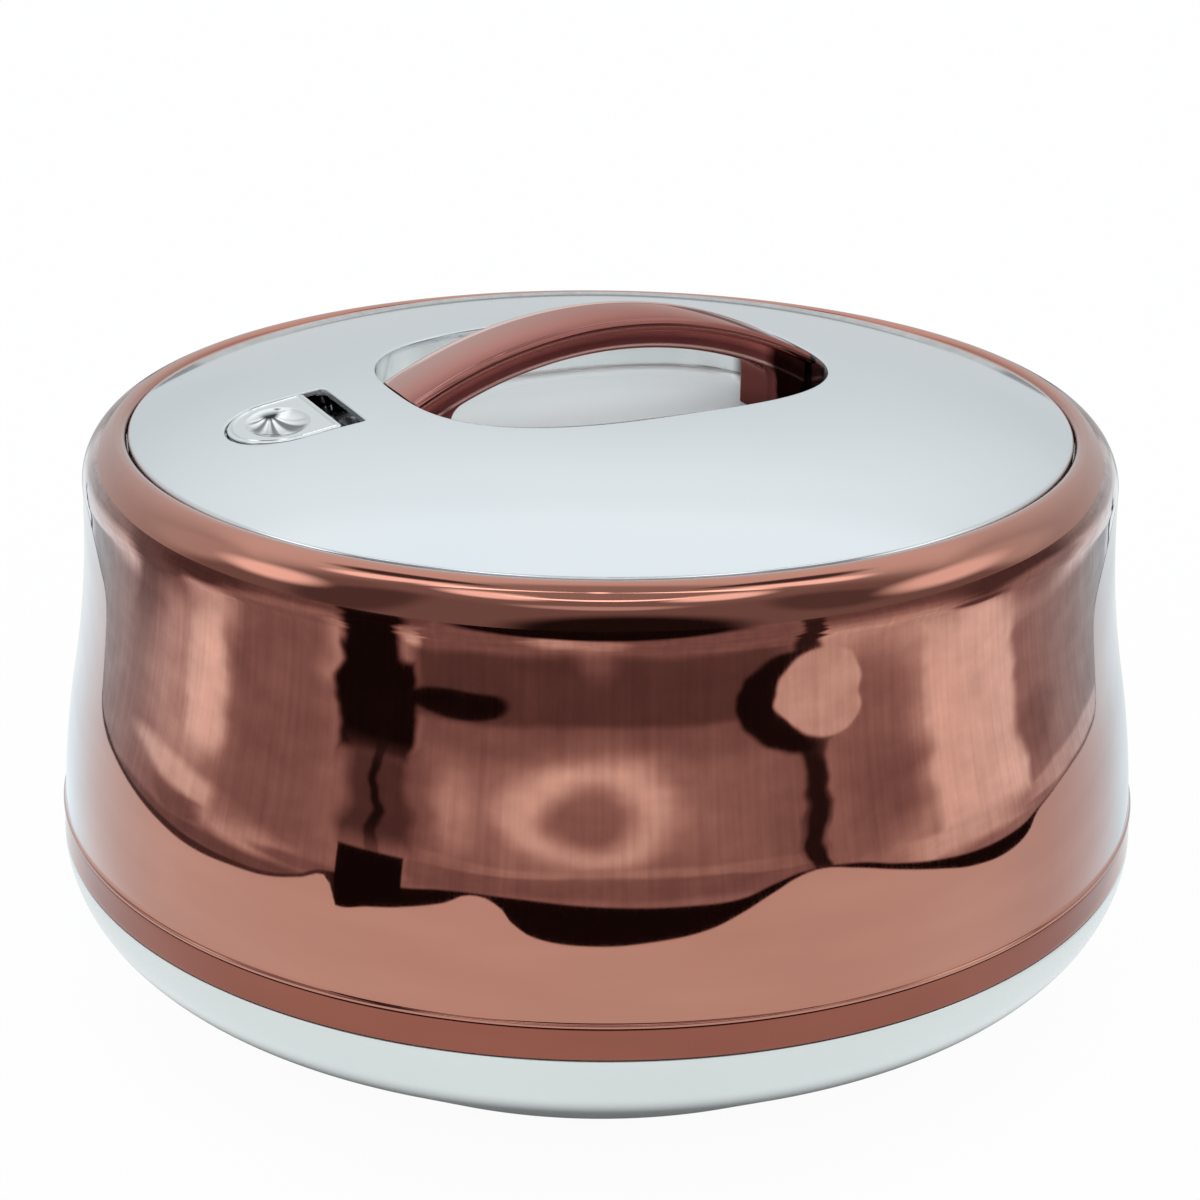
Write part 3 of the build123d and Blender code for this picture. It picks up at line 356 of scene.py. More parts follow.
def panel_surface():
    """The dome as a height over the plan, in grids that meet.

    One runs in polar rays from the well's edge to the rim and leaves out a wedge round the vent.
    One runs from the vent's opening out to that wedge's border, and two close the wedge at the well
    and at the rim. Each opening's edge and the rim roll over in a quarter circle and turn down.
    """
    wedge = math.radians(15.0)
    to_well, to_rim, to_vent = np.linspace(90, 0, 8), np.linspace(0, 90, 9), np.linspace(90, 0, 6)

    # main grid
    rays = np.linspace(-math.pi + wedge, math.pi - wedge, 700)
    direction = unit(rays)
    inner = well_radius(rays) + opening_round
    rim = np.full_like(rays, lid_radius)
    radii = inner + (rim - panel_round - inner) * np.linspace(0, 1, 70)[:, None]
    plan = radii[..., None] * direction
    edge = rolled_rows(direction, well_radius(rays), opening_round, to_well[:-1])
    turn = rolled_rows(direction, rim, panel_round, to_rim[1:], side=-1)
    main = np.concatenate((turned_in(edge), np.dstack((plan, dome(radii))), turned_down(turn)))
    grids = [(main, grid_faces(len(main), len(rays), wrap_columns=False))]

    # wedge round the vent: its border takes the main grid's two straight sides, and well and rim
    cross = np.linspace(math.pi - wedge, math.pi + wedge, 61)
    across = unit(cross)
    well_side = (well_radius(cross) + opening_round)[:, None] * across
    rim_side = (lid_radius - panel_round) * across
    border = np.vstack((plan[:-1, -1], rim_side[:-1], plan[:0:-1, 0], well_side[:0:-1]))
    centre = np.array((vent_x, 0.0))
    bearing = np.arctan2(*(border - centre).T[::-1])
    outward = unit(bearing)
    hole = reach(bullet_line(recess_half, recess_tail, recess_corner), bearing)[:, None]
    patch = []
    for left, drop in quarter(to_vent[:-1]):
        ring = centre + outward * (hole + opening_round * left)
        patch.append(at_height(ring, dome(np.hypot(*ring.T)) - opening_round * drop))
    patch = turned_in(patch)
    start = centre + outward * (hole + opening_round)
    for share in np.linspace(0, 1, 26):
        ring = start + (border - start) * share
        patch.append(at_height(ring, dome(np.hypot(*ring.T))))
    grids.append((np.array(patch), grid_faces(len(patch), len(border))[:, ::-1]))

    # the wedge's share of the well's edge and of the rim
    edge = rolled_rows(across, well_radius(cross), opening_round, to_well)
    turn = rolled_rows(across, np.full_like(cross, lid_radius), panel_round, to_rim, side=-1)
    for rows in (turned_in(edge), turned_down(turn)):
        grids.append((np.array(rows), grid_faces(len(rows), len(cross), wrap_columns=False)))

    points = np.vstack([rows.reshape(-1, 3) for rows, _ in grids])
    starts = np.cumsum([0] + [rows.size // 3 for rows, _ in grids])
    faces = np.vstack([quads + start for (_, quads), start in zip(grids, starts)])
    return points, faces[:, ::-1].tolist()


def well_surface():
    """The sunk pan: straight walls under the opening, a quarter round at the foot, a flat floor."""
    angle = np.linspace(0, TURN, 720, endpoint=False)
    edge = well_radius(angle)
    top = dome(edge) - opening_round - well_lap
    rings, heights = [], []
    for share in np.linspace(0, 1, 14):
        rings.append(edge)
        heights.append(top + (well_floor + well_round - top) * share)
    for left, drop in quarter(np.linspace(0, 90, 14)[1:]):
        rings.append(edge - well_round * drop)
        heights.append(np.full_like(edge, well_floor + well_round * left))
    for share in np.linspace(1, 0, 24)[1:]:
        rings.append((edge - well_round) * share)
        heights.append(np.full_like(edge, well_floor))
    rows = np.dstack((np.array(rings)[..., None] * unit(angle), np.array(heights)))
    return rows.reshape(-1, 3), grid_faces(len(rows), len(angle)).tolist()


# ---------------------------------------------------------------- handle surfaces
def capped(rows, columns):
    """Faces of a tube's grid, and one flat face over each of its two ends."""
    faces = grid_faces(rows, columns).tolist()
    return faces + [list(range(columns)), list(range(rows * columns - 1, (rows - 1) * columns - 1, -1))]


def cover_surface():
    """The handle's cover: its section carried along the arch, each line ending at the well's edge.

    A point of the section at (y, h) runs over (rho sin a, y, z0 + rho cos a), rho = arch + h, and a
    stops where x reaches the opening's outline at that y.
    """
    flat = cover_half - cover_round
    crown = np.linspace(-1, 1, 121) * flat
    ridge = sum(np.exp(-(((np.abs(crown) - place) / ridge_width) ** 2)) for place in ridge_places)
    top = np.column_stack((crown, -cover_crown * (crown / cover_half) ** 2 + ridge_height * ridge))
    low = -cover_crown - cover_edge
    shoulder = arc((flat, -cover_crown - cover_round), cover_round, 90, 0, 9)[1:]
    hem = arc((flat, low + cover_round), cover_round, 0, -90, 9)[1:]
    bottom = np.column_stack((np.linspace(1, -1, 15) * flat, np.full(15, low)))[1:-1]
    section = np.vstack((top, shoulder, hem, bottom, hem[::-1] * (-1, 1), shoulder[::-1] * (-1, 1)))
    rho = arch_radius + section[:, 1]
    inside = 1 - (np.abs(section[:, 0]) / (well_width - well_gap)) ** well_power
    stop = np.arcsin((well_length - well_gap) * inside ** (1 / well_power) / rho)
    angle = np.linspace(-1, 1, 141)[:, None] * stop[None]
    y = np.broadcast_to(section[:, 0], angle.shape)
    points = np.dstack((rho * np.sin(angle), y, arch_z + rho * np.cos(angle)))
    return points.reshape(-1, 3), capped(*angle.shape)


def evenly(line, count):
    """The same line as a count of points, evenly spaced along it."""
    length = np.concatenate(([0], np.cumsum(np.linalg.norm(np.diff(line, axis=0), axis=1))))
    place = np.linspace(0, length[-1], count)
    return np.column_stack([np.interp(place, length, column) for column in line.T])


def matched(line, corner_at, count_leg=30, count_arch=200):
    """A line from foot to foot with one count of points on each leg and another on the arch."""
    leg = evenly(line[: corner_at + 1], count_leg)
    middle = evenly(line[corner_at : len(line) - corner_at], count_arch)
    return np.vstack((leg[:-1], middle, (leg[::-1] * (-1, 1))[1:]))


def core_surface():
    """The handle's core: a rounded section stretched between an outer and an inner line.

    Both lines run in the plane of the arch from one foot over the crown to the other foot. A point
    of the section is (y, share, h): it lies a share of the way from the inner line to the outer one,
    and h further out.
    """
    # outer line: leg and arch
    leg_top_z = arch_z + math.sqrt(core_top**2 - leg_top_outer**2)
    start = math.degrees(math.asin(leg_top_outer / core_top))
    bend = arc((0, arch_z), core_top, 90 + start, 90 - start, 120)
    leg = ((-leg_foot_outer, well_floor), (-leg_top_outer, leg_top_z - leg_bend), bend[0])
    leg = subdivided(np.array(leg), 1.0)[:-1]
    outer = matched(np.vstack((leg, bend, (leg * (-1, 1))[::-1])), len(leg))

    # inner line: leg, fillet to the underside arc, and back down
    fillet_x = leg_inner - leg_fillet
    fillet_z = arch_z + math.sqrt((core_under - leg_fillet) ** 2 - fillet_x**2)
    meet = math.degrees(math.atan2(fillet_z - arch_z, -fillet_x))
    corner = arc((-fillet_x, fillet_z), leg_fillet, 180, meet, 16)
    under = arc((0, arch_z), core_under, meet, 180 - meet, 90)
    leg = subdivided(np.array(((-leg_inner, well_floor), (-leg_inner, fillet_z))), 1.0)
    half = np.vstack((leg[:-1], corner[:-1]))
    inner = matched(np.vstack((half, under, (half * (-1, 1))[::-1])), len(half) + 2)

    # section: round, underside, round, side, top, side
    depth = np.linalg.norm(outer - inner, axis=1)
    flat = np.linspace(-1, 1, 9)[1:-1]
    rise = np.linspace(0, 1, 6)[1:]
    low = arc((core_half - core_round, core_round), core_round, 0, -90, 9)
    low = np.insert(low, 1, 0, axis=1)
    side = np.column_stack((np.full_like(rise, core_half), rise, core_round * (1 - rise)))
    section = np.vstack(
        (
            low,
            np.column_stack((flat[::-1] * (core_half - core_round), 0 * flat, 0 * flat)),
            low[::-1] * (-1, 1, 1),
            side * (-1, 1, 1),
            np.column_stack((flat * core_half, 0 * flat + 1, 0 * flat)),
            side[::-1],
        )
    )
    y, share, out = section.T
    share = share + out / depth[:, None]
    plane = inner[:, None] + (outer - inner)[:, None] * share[..., None]
    points = np.dstack((plane[..., 0], np.broadcast_to(y, share.shape), plane[..., 1]))
    return points.reshape(-1, 3), capped(*share.shape)


# ---------------------------------------------------------------- vent slider
def slider_surface():
    """The slider: rings of its outline drawn inwards, with a rib, then rings down into the dish.

    In the dish the depth below the top is sqrt((H + s(y)) ** 2 - x ** 2) - H, a spindle whose
    section s(y) is a shallow arc and whose axis lies a height H above the top.
    """
    angle = np.linspace(-math.pi, math.pi, 360, endpoint=False)
    direction = unit(angle)
    half = recess_half - slider_gap
    top = -slider_drop

    def ring(inset, height):
        edge = bullet_line(half - inset, slider_tail - inset, recess_corner - inset)
        return at_height(reach(edge, angle)[:, None] * direction, height)

    rows = [ring(0, -slider_low), ring(0, -slider_waist), ring(0, top - slider_round)]
    for left, drop in quarter((30, 60, 90)):
        rows.append(ring(slider_round * drop, top - slider_round * left))
    rows.append(ring(rib_inset - rib_half - rib_outside, top))
    for inset in np.linspace(rib_inset - rib_half, rib_inset + rib_half, 9):
        wave = math.cos(math.pi * (inset - rib_inset) / (2 * rib_half))
        rows.append(ring(inset, top + rib_height * wave**2))
    rows.append(ring(rib_inset + rib_half + rib_inside, top))

    arc_radius = (dish_width**2 + dish_depth**2) / (2 * dish_depth)
    axis_height = (dish_length**2 - dish_depth**2) / (2 * dish_depth)

    def spindle(y):
        return axis_height + np.sqrt(arc_radius**2 - y**2) - (arc_radius - dish_depth)

    y = dish_width * np.sin(np.linspace(-math.pi / 2, math.pi / 2, 121))
    x = np.sqrt(np.maximum(spindle(y) ** 2 - axis_height**2, 0))
    mouth = np.vstack((np.column_stack((x, y)), np.column_stack((-x, y))[::-1][1:-1]))
    centre = np.array((dish_x, 0.0))
    inner = centre + reach(mouth, angle)[:, None] * direction
    outer = rows[-1][:, :2]
    for share in np.linspace(0, 1, 8)[1:-1]:
        rows.append(at_height(outer + (inner - outer) * share, top))
    for share in dish_shares:
        local = (inner - centre) * share
        depth = np.sqrt(np.maximum(spindle(local[:, 1]) ** 2 - local[:, 0] ** 2, 0)) - axis_height
        rows.append(at_height(local + centre, top - np.maximum(depth, 0)))
    points = at_vent(np.vstack(rows))
    return points, grid_faces(len(rows), len(angle)).tolist() + [list(range(len(angle)))[::-1]]


outer_shell = make_piece(
    "outer_shell_polished", revolved(shell_section()), "pot", "rose_shell", ["outer_shell"]
)
band = make_piece("copper_band_polished", revolved(band_section()), "pot", "copper_band", ["copper_band"])
bowl = make_piece("base_bowl_satin", revolved(bowl_section()), "pot", "base_shell", ["base_bowl"])
pot = make_piece("inner_pot_brushed", revolved(pot_section()), "pot", "inner_steel", ["inner_pot"])
panel = make_piece("lid_panel_bright", panel_surface(), "lid", "lid_chrome", ["lid_panel"])
well = make_piece("handle_well_bright", well_surface(), "lid", "lid_chrome", ["handle_well"])
cover = make_piece("handle_cover_rose", cover_surface(), "lid", "handle_rose", ["handle_cover"])
core = make_piece("handle_core_rose", core_surface(), "lid", "handle_rose", ["handle_core"])
slider = make_piece("vent_slider_satin", slider_surface(), "slider", "vent_grey", ["vent_slider"])


# ---------------------------------------------------------------- node trees
class Nodes:
    """A node tree at hand, and short names for what the finishes and the lights are built of."""

    def __init__(self, owner):
        owner.use_nodes = True
        self.nodes, self.links = owner.node_tree.nodes, owner.node_tree.links

    def put(self, socket, value):
        """Links a node's output into a socket, or gives the socket a value of its own."""
        if isinstance(value, bpy.types.NodeSocket):
            self.links.new(value, socket)
        elif socket.type == "RGBA":
            socket.default_value = (*value[:3], 1)
        else:
            socket.default_value = value

    def new(self, kind, *values, **settings):
        """A new node: values go to its inputs in turn, settings with a capital to inputs by name."""
        node = self.nodes.new(kind)
        for name, setting in settings.items():
            if name[0].isupper():
                self.put(node.inputs[name.replace("_", " ")], setting)
            else:
                setattr(node, name, setting)
        for socket, value in zip(node.inputs, values):
            self.put(socket, value)
        return node

    def place(self):
        """The place on the thing itself, in metres."""
        return self.new("ShaderNodeTexCoord").outputs["Object"]

    def parts(self, vector):
        """The three parts of a vector."""
        return self.new("ShaderNodeSeparateXYZ", vector).outputs

    def pair(self, one, other):
        """A vector of two parts."""
        return self.new("ShaderNodeCombineXYZ", one, other).outputs[0]

    def maths(self, operation, *values):
        """A sum on levels."""
        return self.new("ShaderNodeMath", *values, operation=operation).outputs[0]

    def vector(self, operation, *values):
        """A sum on vectors, which gives a vector, a length or a product."""
        node = self.new("ShaderNodeVectorMath", *values, operation=operation)
        return node.outputs["Value" if operation in ("LENGTH", "DOT_PRODUCT") else "Vector"]

    def noise(self, place, scale, detail, rough=0.5, output="Fac"):
        """Fractal noise over a place."""
        node = self.new("ShaderNodeTexNoise", place, Scale=scale, Detail=detail, Roughness=rough)
        return node.outputs[output]

    def span(self, value, low, high, from_low=0.3, from_high=0.7):
        """A level that runs from low to high as the value runs over its own span."""
        return self.new("ShaderNodeMapRange", value, from_low, from_high, low, high).outputs["Result"]

    def eased(self, value, middle, soft, low, high):
        """A level that goes from low to high in a soft step about a middle."""
        ends = (middle - soft, middle + soft, low, high)
        node = self.new("ShaderNodeMapRange", value, *ends, interpolation_type="SMOOTHSTEP")
        return node.outputs["Result"]

    def mixed(self, share, one, other):
        """A level between two, by a share from 0 to 1."""
        return self.new("ShaderNodeMix", share, A=one, B=other).outputs["Result"]

    def blend(self, share, one, other):
        """A colour between two, by a share from 0 to 1."""
        node = self.new("ShaderNodeMix", share, data_type="RGBA")
        self.put(node.inputs[6], one)
        self.put(node.inputs[7], other)
        return node.outputs[2]

    def either(self, share, one, other):
        """A shader between two, by a share from 0 to 1."""
        return self.new("ShaderNodeMixShader", share, one, other).outputs["Shader"]


# ---------------------------------------------------------------- finishes
class Finish(Nodes):
    """A material with its shader and the place on the piece at hand."""

    def __init__(self, name):
        self.material = bpy.data.materials.new(name)
        super().__init__(self.material)
        self.shader = self.nodes["Principled BSDF"]
        self.here = self.place()

    def set(self, **values):
        """Puts values and links into the shader's own sockets."""
        for name, value in values.items():
            self.put(self.shader.inputs[name.replace("_", " ")], value)

    def grain(self, scale, detail, stretch=(1, 1, 1)):
        """Noise over the place on the piece, stretched first."""
        return self.noise(self.new("ShaderNodeMapping", self.here, Scale=stretch).outputs[0], scale, detail)

    def clouds(self, scale, detail, one, other):
        """Two close tones, one going over into the other in clouds."""
        return self.blend(self.span(self.grain(scale, detail), 0, 1), one, other)

    def bump(self, height, strength, distance):
        """A faint relief on the shader, from a level."""
        node = self.new("ShaderNodeBump", strength, distance, Height=height)
        self.set(Normal=node.outputs["Normal"])


def polished_metal(name, one, other, rough_low, rough_high, streak=0, dent=0, lacquer=0, metallic=1):
    """Polished metal: two close tones in clouds, fine upright streaks and a faint unevenness."""
    finish = Finish(name)
    lines = finish.grain(1, 4, (1800, 1800, 18))
    finish.set(
        Metallic=metallic,
        Coat_Weight=lacquer,
        Coat_IOR=1.6,
        Base_Color=finish.clouds(14, 2, one, other),
        Roughness=finish.span(lines, rough_low, rough_high),
    )
    if streak:
        finish.bump(lines, streak, dent)
    return finish.material


def satin_plastic(name, one, other, rough, grain_scale):
    """Moulded plastic: a fine even grain over two close tones, with a soft sheen."""
    finish = Finish(name)
    grain = finish.grain(grain_scale, 2)
    finish.set(
        Base_Color=finish.clouds(30, 3, one, other),
        Roughness=finish.span(grain, rough - 0.05, rough + 0.05),
    )
    finish.bump(grain, 0.05, 0.0001)
    return finish.material


def ringed_steel(name, one, other):
    """Spun steel: fine lines round the axis, from noise over the distance to it and the height."""
    finish = Finish(name)
    away = finish.vector("LENGTH", finish.vector("MULTIPLY", finish.here, (1, 1, 0)))
    lines = finish.noise(finish.pair(away, finish.parts(finish.here)[2]), 800, 2)
    finish.set(
        Metallic=1.0,
        Base_Color=finish.blend(finish.span(lines, 0, 1), one, other),
        Roughness=finish.span(lines, 0.22, 0.34),
    )
    finish.bump(lines, 0.06, 0.00005)
    return finish.material


# Tones of the handle's side by distance in metres from the arch's own centre, with painted light: painted
# shade underneath, a painted highlight line, dark, then redder, and a painted highlight at the top edge.
SIDE_TONES_AND_PAINTED_LIGHT = (
    (0.1070, (0.13, 0.028, 0.026)),
    (0.1083, (0.10, 0.022, 0.020)),
    (0.1089, (0.62, 0.34, 0.30)),
    (0.1094, (0.14, 0.030, 0.027)),
    (0.1108, (0.13, 0.024, 0.022)),
    (0.1126, (0.34, 0.085, 0.072)),
    (0.1140, (0.20, 0.044, 0.038)),
    (0.1146, (0.42, 0.160, 0.130)),
    (0.1151, (0.18, 0.045, 0.038)),
    (0.1160, (0.60, 0.36, 0.32)),
)
SIDE_LOW, SIDE_HIGH = 0.1070, 0.1165


def handle_plating_with_painted_light(name):
    """Rose plating with painted light: a painted reflection on the handle's top, dark at the front and
    paler towards the back, and painted shade and highlight lines in deep red-brown on its sides, where the
    normal points less up.
    """
    finish = Finish(name)
    depth = finish.parts(finish.here)[1]
    # painted reflection on the top: a dark band at the front, then pink, then pale grey towards the back
    top = finish.blend(finish.span(depth, 0, 1, -0.004, 0.012), (0.54, 0.27, 0.24), (0.68, 0.58, 0.55))
    top = finish.blend(finish.span(depth, 0, 1, -0.012, -0.004), (0.27, 0.085, 0.072), top)
    normal = finish.new("ShaderNodeNewGeometry").outputs["Normal"]
    # the top takes the pale painted reflection and the sides the painted shade and highlight tones, by how
    # far the normal points up
    up = finish.span(finish.parts(normal)[2], 0, 1, 0.45, 0.9)
    offset = finish.vector("SUBTRACT", finish.here, (0, 0, arch_z * MM))
    away = finish.vector("LENGTH", finish.vector("MULTIPLY", offset, (1, 0, 1)))
    # painted shade and painted highlight lines along the side, by distance from the arch's centre
    side = finish.new("ShaderNodeValToRGB", finish.span(away, 0, 1, SIDE_LOW, SIDE_HIGH))
    ramp = side.color_ramp.elements
    while len(ramp) < len(SIDE_TONES_AND_PAINTED_LIGHT):
        ramp.new(0.5)
    for element, (distance, colour) in zip(ramp, SIDE_TONES_AND_PAINTED_LIGHT):
        element.position = (distance - SIDE_LOW) / (SIDE_HIGH - SIDE_LOW)
        element.color = (*colour, 1)
    finish.set(
        Metallic=1.0,
        Coat_Weight=0.25,
        Specular_Tint=(0.80, 0.50, 0.45),
        Base_Color=finish.blend(up, side.outputs["Color"], top),
        Roughness=finish.span(finish.grain(20, 2), 0.03, 0.06),
    )
    return finish.material


def pan_with_painted_shade(name):
    """The lid's pan: a pale satin floor, and a bright wall with painted shade that makes it go near black
    behind the handle's feet.
    """
    finish = Finish(name)
    across, _, height = finish.parts(finish.here)
    wall = finish.span(height, 0, 1, (well_floor + 0.6) * MM, (well_floor + 3.2) * MM)
    aside = finish.maths("ABSOLUTE", across)
    # painted shade: beyond the handle's feet the pan's colour goes near black
    foot = finish.span(aside, 0, 1, leg_foot_outer * MM, (leg_foot_outer + 1.5) * MM)
    floor = finish.clouds(20, 2, (0.97, 1.0, 1.0), (0.98, 1.0, 1.0))
    tone = finish.blend(wall, floor, (0.95, 0.98, 0.97))
    finish.set(
        Coat_Weight=0.3,
        Coat_Roughness=0.04,
        Base_Color=finish.blend(foot, tone, (0.035, 0.022, 0.022)),
        Metallic=finish.span(wall, 0.0, 0.9, 0, 1),
        Roughness=finish.span(wall, 0.46, 0.14, 0, 1),
    )
    return finish.material


def silver_with_painted_dish_reflections(name):
    """Bright silver, even on the slider's flat top, with painted reflections of light and dark rays down
    its finger dish.

    The rays fan out from a point at the back of the dish, and painted shade makes the tone darkest close to
    it.
    """
    finish = Finish(name)
    fan = at_vent(np.array((dish_x + 1.0, dish_width - 2.0, -slider_drop))) * MM
    offset = finish.vector("SUBTRACT", finish.here, fan)
    flat = finish.vector("MULTIPLY", offset, (1, 1, 0))
    noise = finish.noise(finish.vector("NORMALIZE", flat), 3.2, 1)
    # painted reflections: light and dark rays that fan out from a point in the dish
    rays = finish.blend(finish.span(noise, 0, 1, 0.42, 0.56), (0.20, 0.21, 0.22), (0.96, 0.97, 0.98))
    # painted shade: near black close to that point
    away = finish.span(finish.vector("LENGTH", flat), 0, 1, 0.0016, 0.0030)
    rays = finish.blend(away, (0.03, 0.03, 0.03), rays)
    depth = finish.vector("DOT_PRODUCT", offset, vent_axes[2])
    dish = finish.span(depth, 1, 0, -0.0010, -0.0003)
    finish.set(
        Metallic=1.0,
        Base_Color=finish.blend(dish, (0.84, 0.87, 0.88), rays),
        Roughness=finish.span(finish.grain(40, 2), 0.03, 0.07),
    )
    return finish.material


def recess_silver_painted_shade_and_glints(name):
    """Bright silver down in the recess, broken into flecks of near-black painted shade and of light painted
    reflection.
    """
    finish = Finish(name)
    # painted shade and painted reflections: dark and light flecks in the recess
    flecks = finish.span(finish.grain(260, 2, (1, 0.6, 1)), 0, 1, 0.50, 0.60)
    finish.set(
        Metallic=1.0,
        Base_Color=finish.blend(flecks, (0.03, 0.032, 0.036), (0.70, 0.72, 0.74)),
        Roughness=finish.span(finish.grain(40, 2), 0.06, 0.12),
    )
    return finish.material


# A name, two tones, the lowest and highest roughness, streaks and their depth, lacquer and metal.
METALS = {
    "rose_shell": (
        "rose_gold_polish", (0.465, 0.174, 0.114), (0.485, 0.182, 0.120), 0.03, 0.07, 0.02, 0.00002, 1.0
    ),
    "copper_band": (
        "dark_copper_polish", (0.28, 0.080, 0.052), (0.31, 0.090, 0.058), 0.08, 0.16, 0.0, 0, 0.4
    ),
    "lid_chrome": ("bright_chrome", (0.74, 0.78, 0.80), (0.77, 0.80, 0.82), 0.05, 0.09, 0.0, 0, 0.0, 0.75),
    "vent_grey": ("silver_moulding", (0.82, 0.85, 0.86), (0.86, 0.89, 0.90), 0.02, 0.05),
    "base_shell": (
        "silver_satin_shell", (0.71, 0.74, 0.73), (0.74, 0.77, 0.76), 0.20, 0.24, 0.0, 0, 0.3, 0.85
    ),
    "base_screws": ("plain_screw_steel", (0.55, 0.56, 0.57), (0.6, 0.61, 0.62), 0.25, 0.35),
}
# A name, two tones, the roughness and the scale of the grain.
PLASTICS = {
    "foot_rubber": ("foot_rubber_dark", (0.035, 0.035, 0.04), (0.05, 0.05, 0.055), 0.75, 700),
    "hidden_moulding": ("grey_moulding", (0.42, 0.42, 0.43), (0.47, 0.47, 0.48), 0.5, 600),
    "white_moulding": ("white_moulding", (0.78, 0.78, 0.77), (0.82, 0.82, 0.81), 0.4, 700),
    "foam": ("pale_foam", (0.78, 0.70, 0.44), (0.84, 0.76, 0.52), 0.85, 250),
    "gasket_silicone": ("clear_silicone", (0.74, 0.74, 0.72), (0.80, 0.80, 0.78), 0.45, 800),
}
finishes = {slot: polished_metal(*row) for slot, row in METALS.items()}
finishes.update((slot, satin_plastic(*row)) for slot, row in PLASTICS.items())
finishes["handle_rose"] = handle_plating_with_painted_light("rose_plating_painted_light")
finishes["inner_steel"] = ringed_steel("spun_steel", (0.66, 0.66, 0.65), (0.72, 0.72, 0.71))

for piece in (outer_shell, band, bowl, pot, panel, well, cover, core, slider):
    piece.data.materials.append(finishes[piece["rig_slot"]])
well.data.materials[0] = pan_with_painted_shade("pan_with_painted_shade")
slider.data.materials[0] = silver_with_painted_dish_reflections("silver_with_painted_dish_reflections")
node_slots = {row["node"]: row["material_slot"] for row in frame["record"]["subparts"]}
for node, thing in cad_nodes.items():
    thing.data.materials.clear()
    thing.data.materials.append(finishes[node_slots[node]])
cad_nodes["vent_tray"].data.materials[0] = recess_silver_painted_shade_and_glints("recess_silver_painted_shade_and_glints")


# ---------------------------------------------------------------- floor, light and camera
class Light(Nodes):
    """Nodes for the floor, the screen and the sky: a level that soft-edged patches raise or lower."""

    def bearing(self, x, y):
        """Degrees round the upright axis from the side that faces the camera, -180 to 180."""
        angle = self.maths("ARCTAN2", x, self.maths("MULTIPLY", y, -1.0))
        turned = self.maths("ADD", angle, CAMERA_BEARING)
        return self.maths("DEGREES", self.maths("WRAP", turned, math.pi, -math.pi))

    def outline(self, bearing, points):
        """Height in mm of a smooth line through points of bearing in degrees and height."""
        node = self.new("ShaderNodeFloatCurve")
        spots = [(degrees / OUTLINE_TURN + 0.5, height / OUTLINE_HEIGHT) for degrees, height in points]
        line = node.mapping.curves[0].points
        line[0].location, line[1].location = spots[0], spots[-1]
        for spot in spots[1:-1]:
            line.new(*spot)
        node.mapping.extend = "HORIZONTAL"
        node.mapping.update()
        self.put(node.inputs["Value"], self.maths("MULTIPLY_ADD", bearing, 1 / OUTLINE_TURN, 0.5))
        return self.maths("MULTIPLY", node.outputs[0], OUTLINE_HEIGHT)

    def stretched(self, place, scale, detail=3.0, rough=0.5, output="Fac"):
        """Fractal noise over a place that is stretched by a scale on each axis."""
        return self.noise(self.vector("MULTIPLY", place, scale), 1.0, detail, rough, output)

    def above(self, height, edge, soft, one, other):
        """One level below an edge and the other above it, with a soft step between."""
        return self.mixed(self.eased(self.maths("SUBTRACT", height, edge), 0, soft, 0, 1), one, other)

    def varied(self, level, noise, swing, least):
        """A level times noise, which is stretched by a swing and lifted to a least share."""
        return self.maths("MULTIPLY", level, self.maths("MULTIPLY_ADD", noise, swing, least))

    def beyond(self, value, start, slope):
        """How far a value has gone beyond a start, times a slope."""
        return self.maths("MULTIPLY", self.maths("SUBTRACT", value, start), slope)

    def patched(self, level, place, patches):
        """A level that goes over to each patch's own where place lies in its ellipse or box."""
        for centre, half, soft, target, square in patches:
            offset = self.vector("DIVIDE", self.vector("SUBTRACT", place, (*centre, 0)), (*half, FAR))
            if square:
                across, up, _ = self.parts(self.vector("ABSOLUTE", offset))
                distance = self.maths("MAXIMUM", across, up)
            else:
                distance = self.vector("LENGTH", offset)
            level = self.mixed(self.eased(distance, 1, soft, 1, 0), level, target)
        return level

    def show(self, shader):
        """Puts a shader into the tree's output."""
        output = next(node for node in self.nodes if node.type.startswith("OUTPUT"))
        self.put(output.inputs["Surface"], shader)


# What polished metal sees round it is a table, a room and lamps. Each patch has a middle, a half
# size, an edge softness, a level and whether it is a box, and covers the patches before it.
# The screen stands close round the body: degrees of bearing from the camera, and height in mm.
TABLE_PATCHES = (
    ((100, 60), (45, 300), 0.25, 0.76, True),
    ((-95, 60), (32, 300), 0.25, 0.84, True),
    ((-180, 60), (60, 300), 0.2, 0.80, True),
    ((180, 60), (60, 300), 0.2, 0.78, True),
)
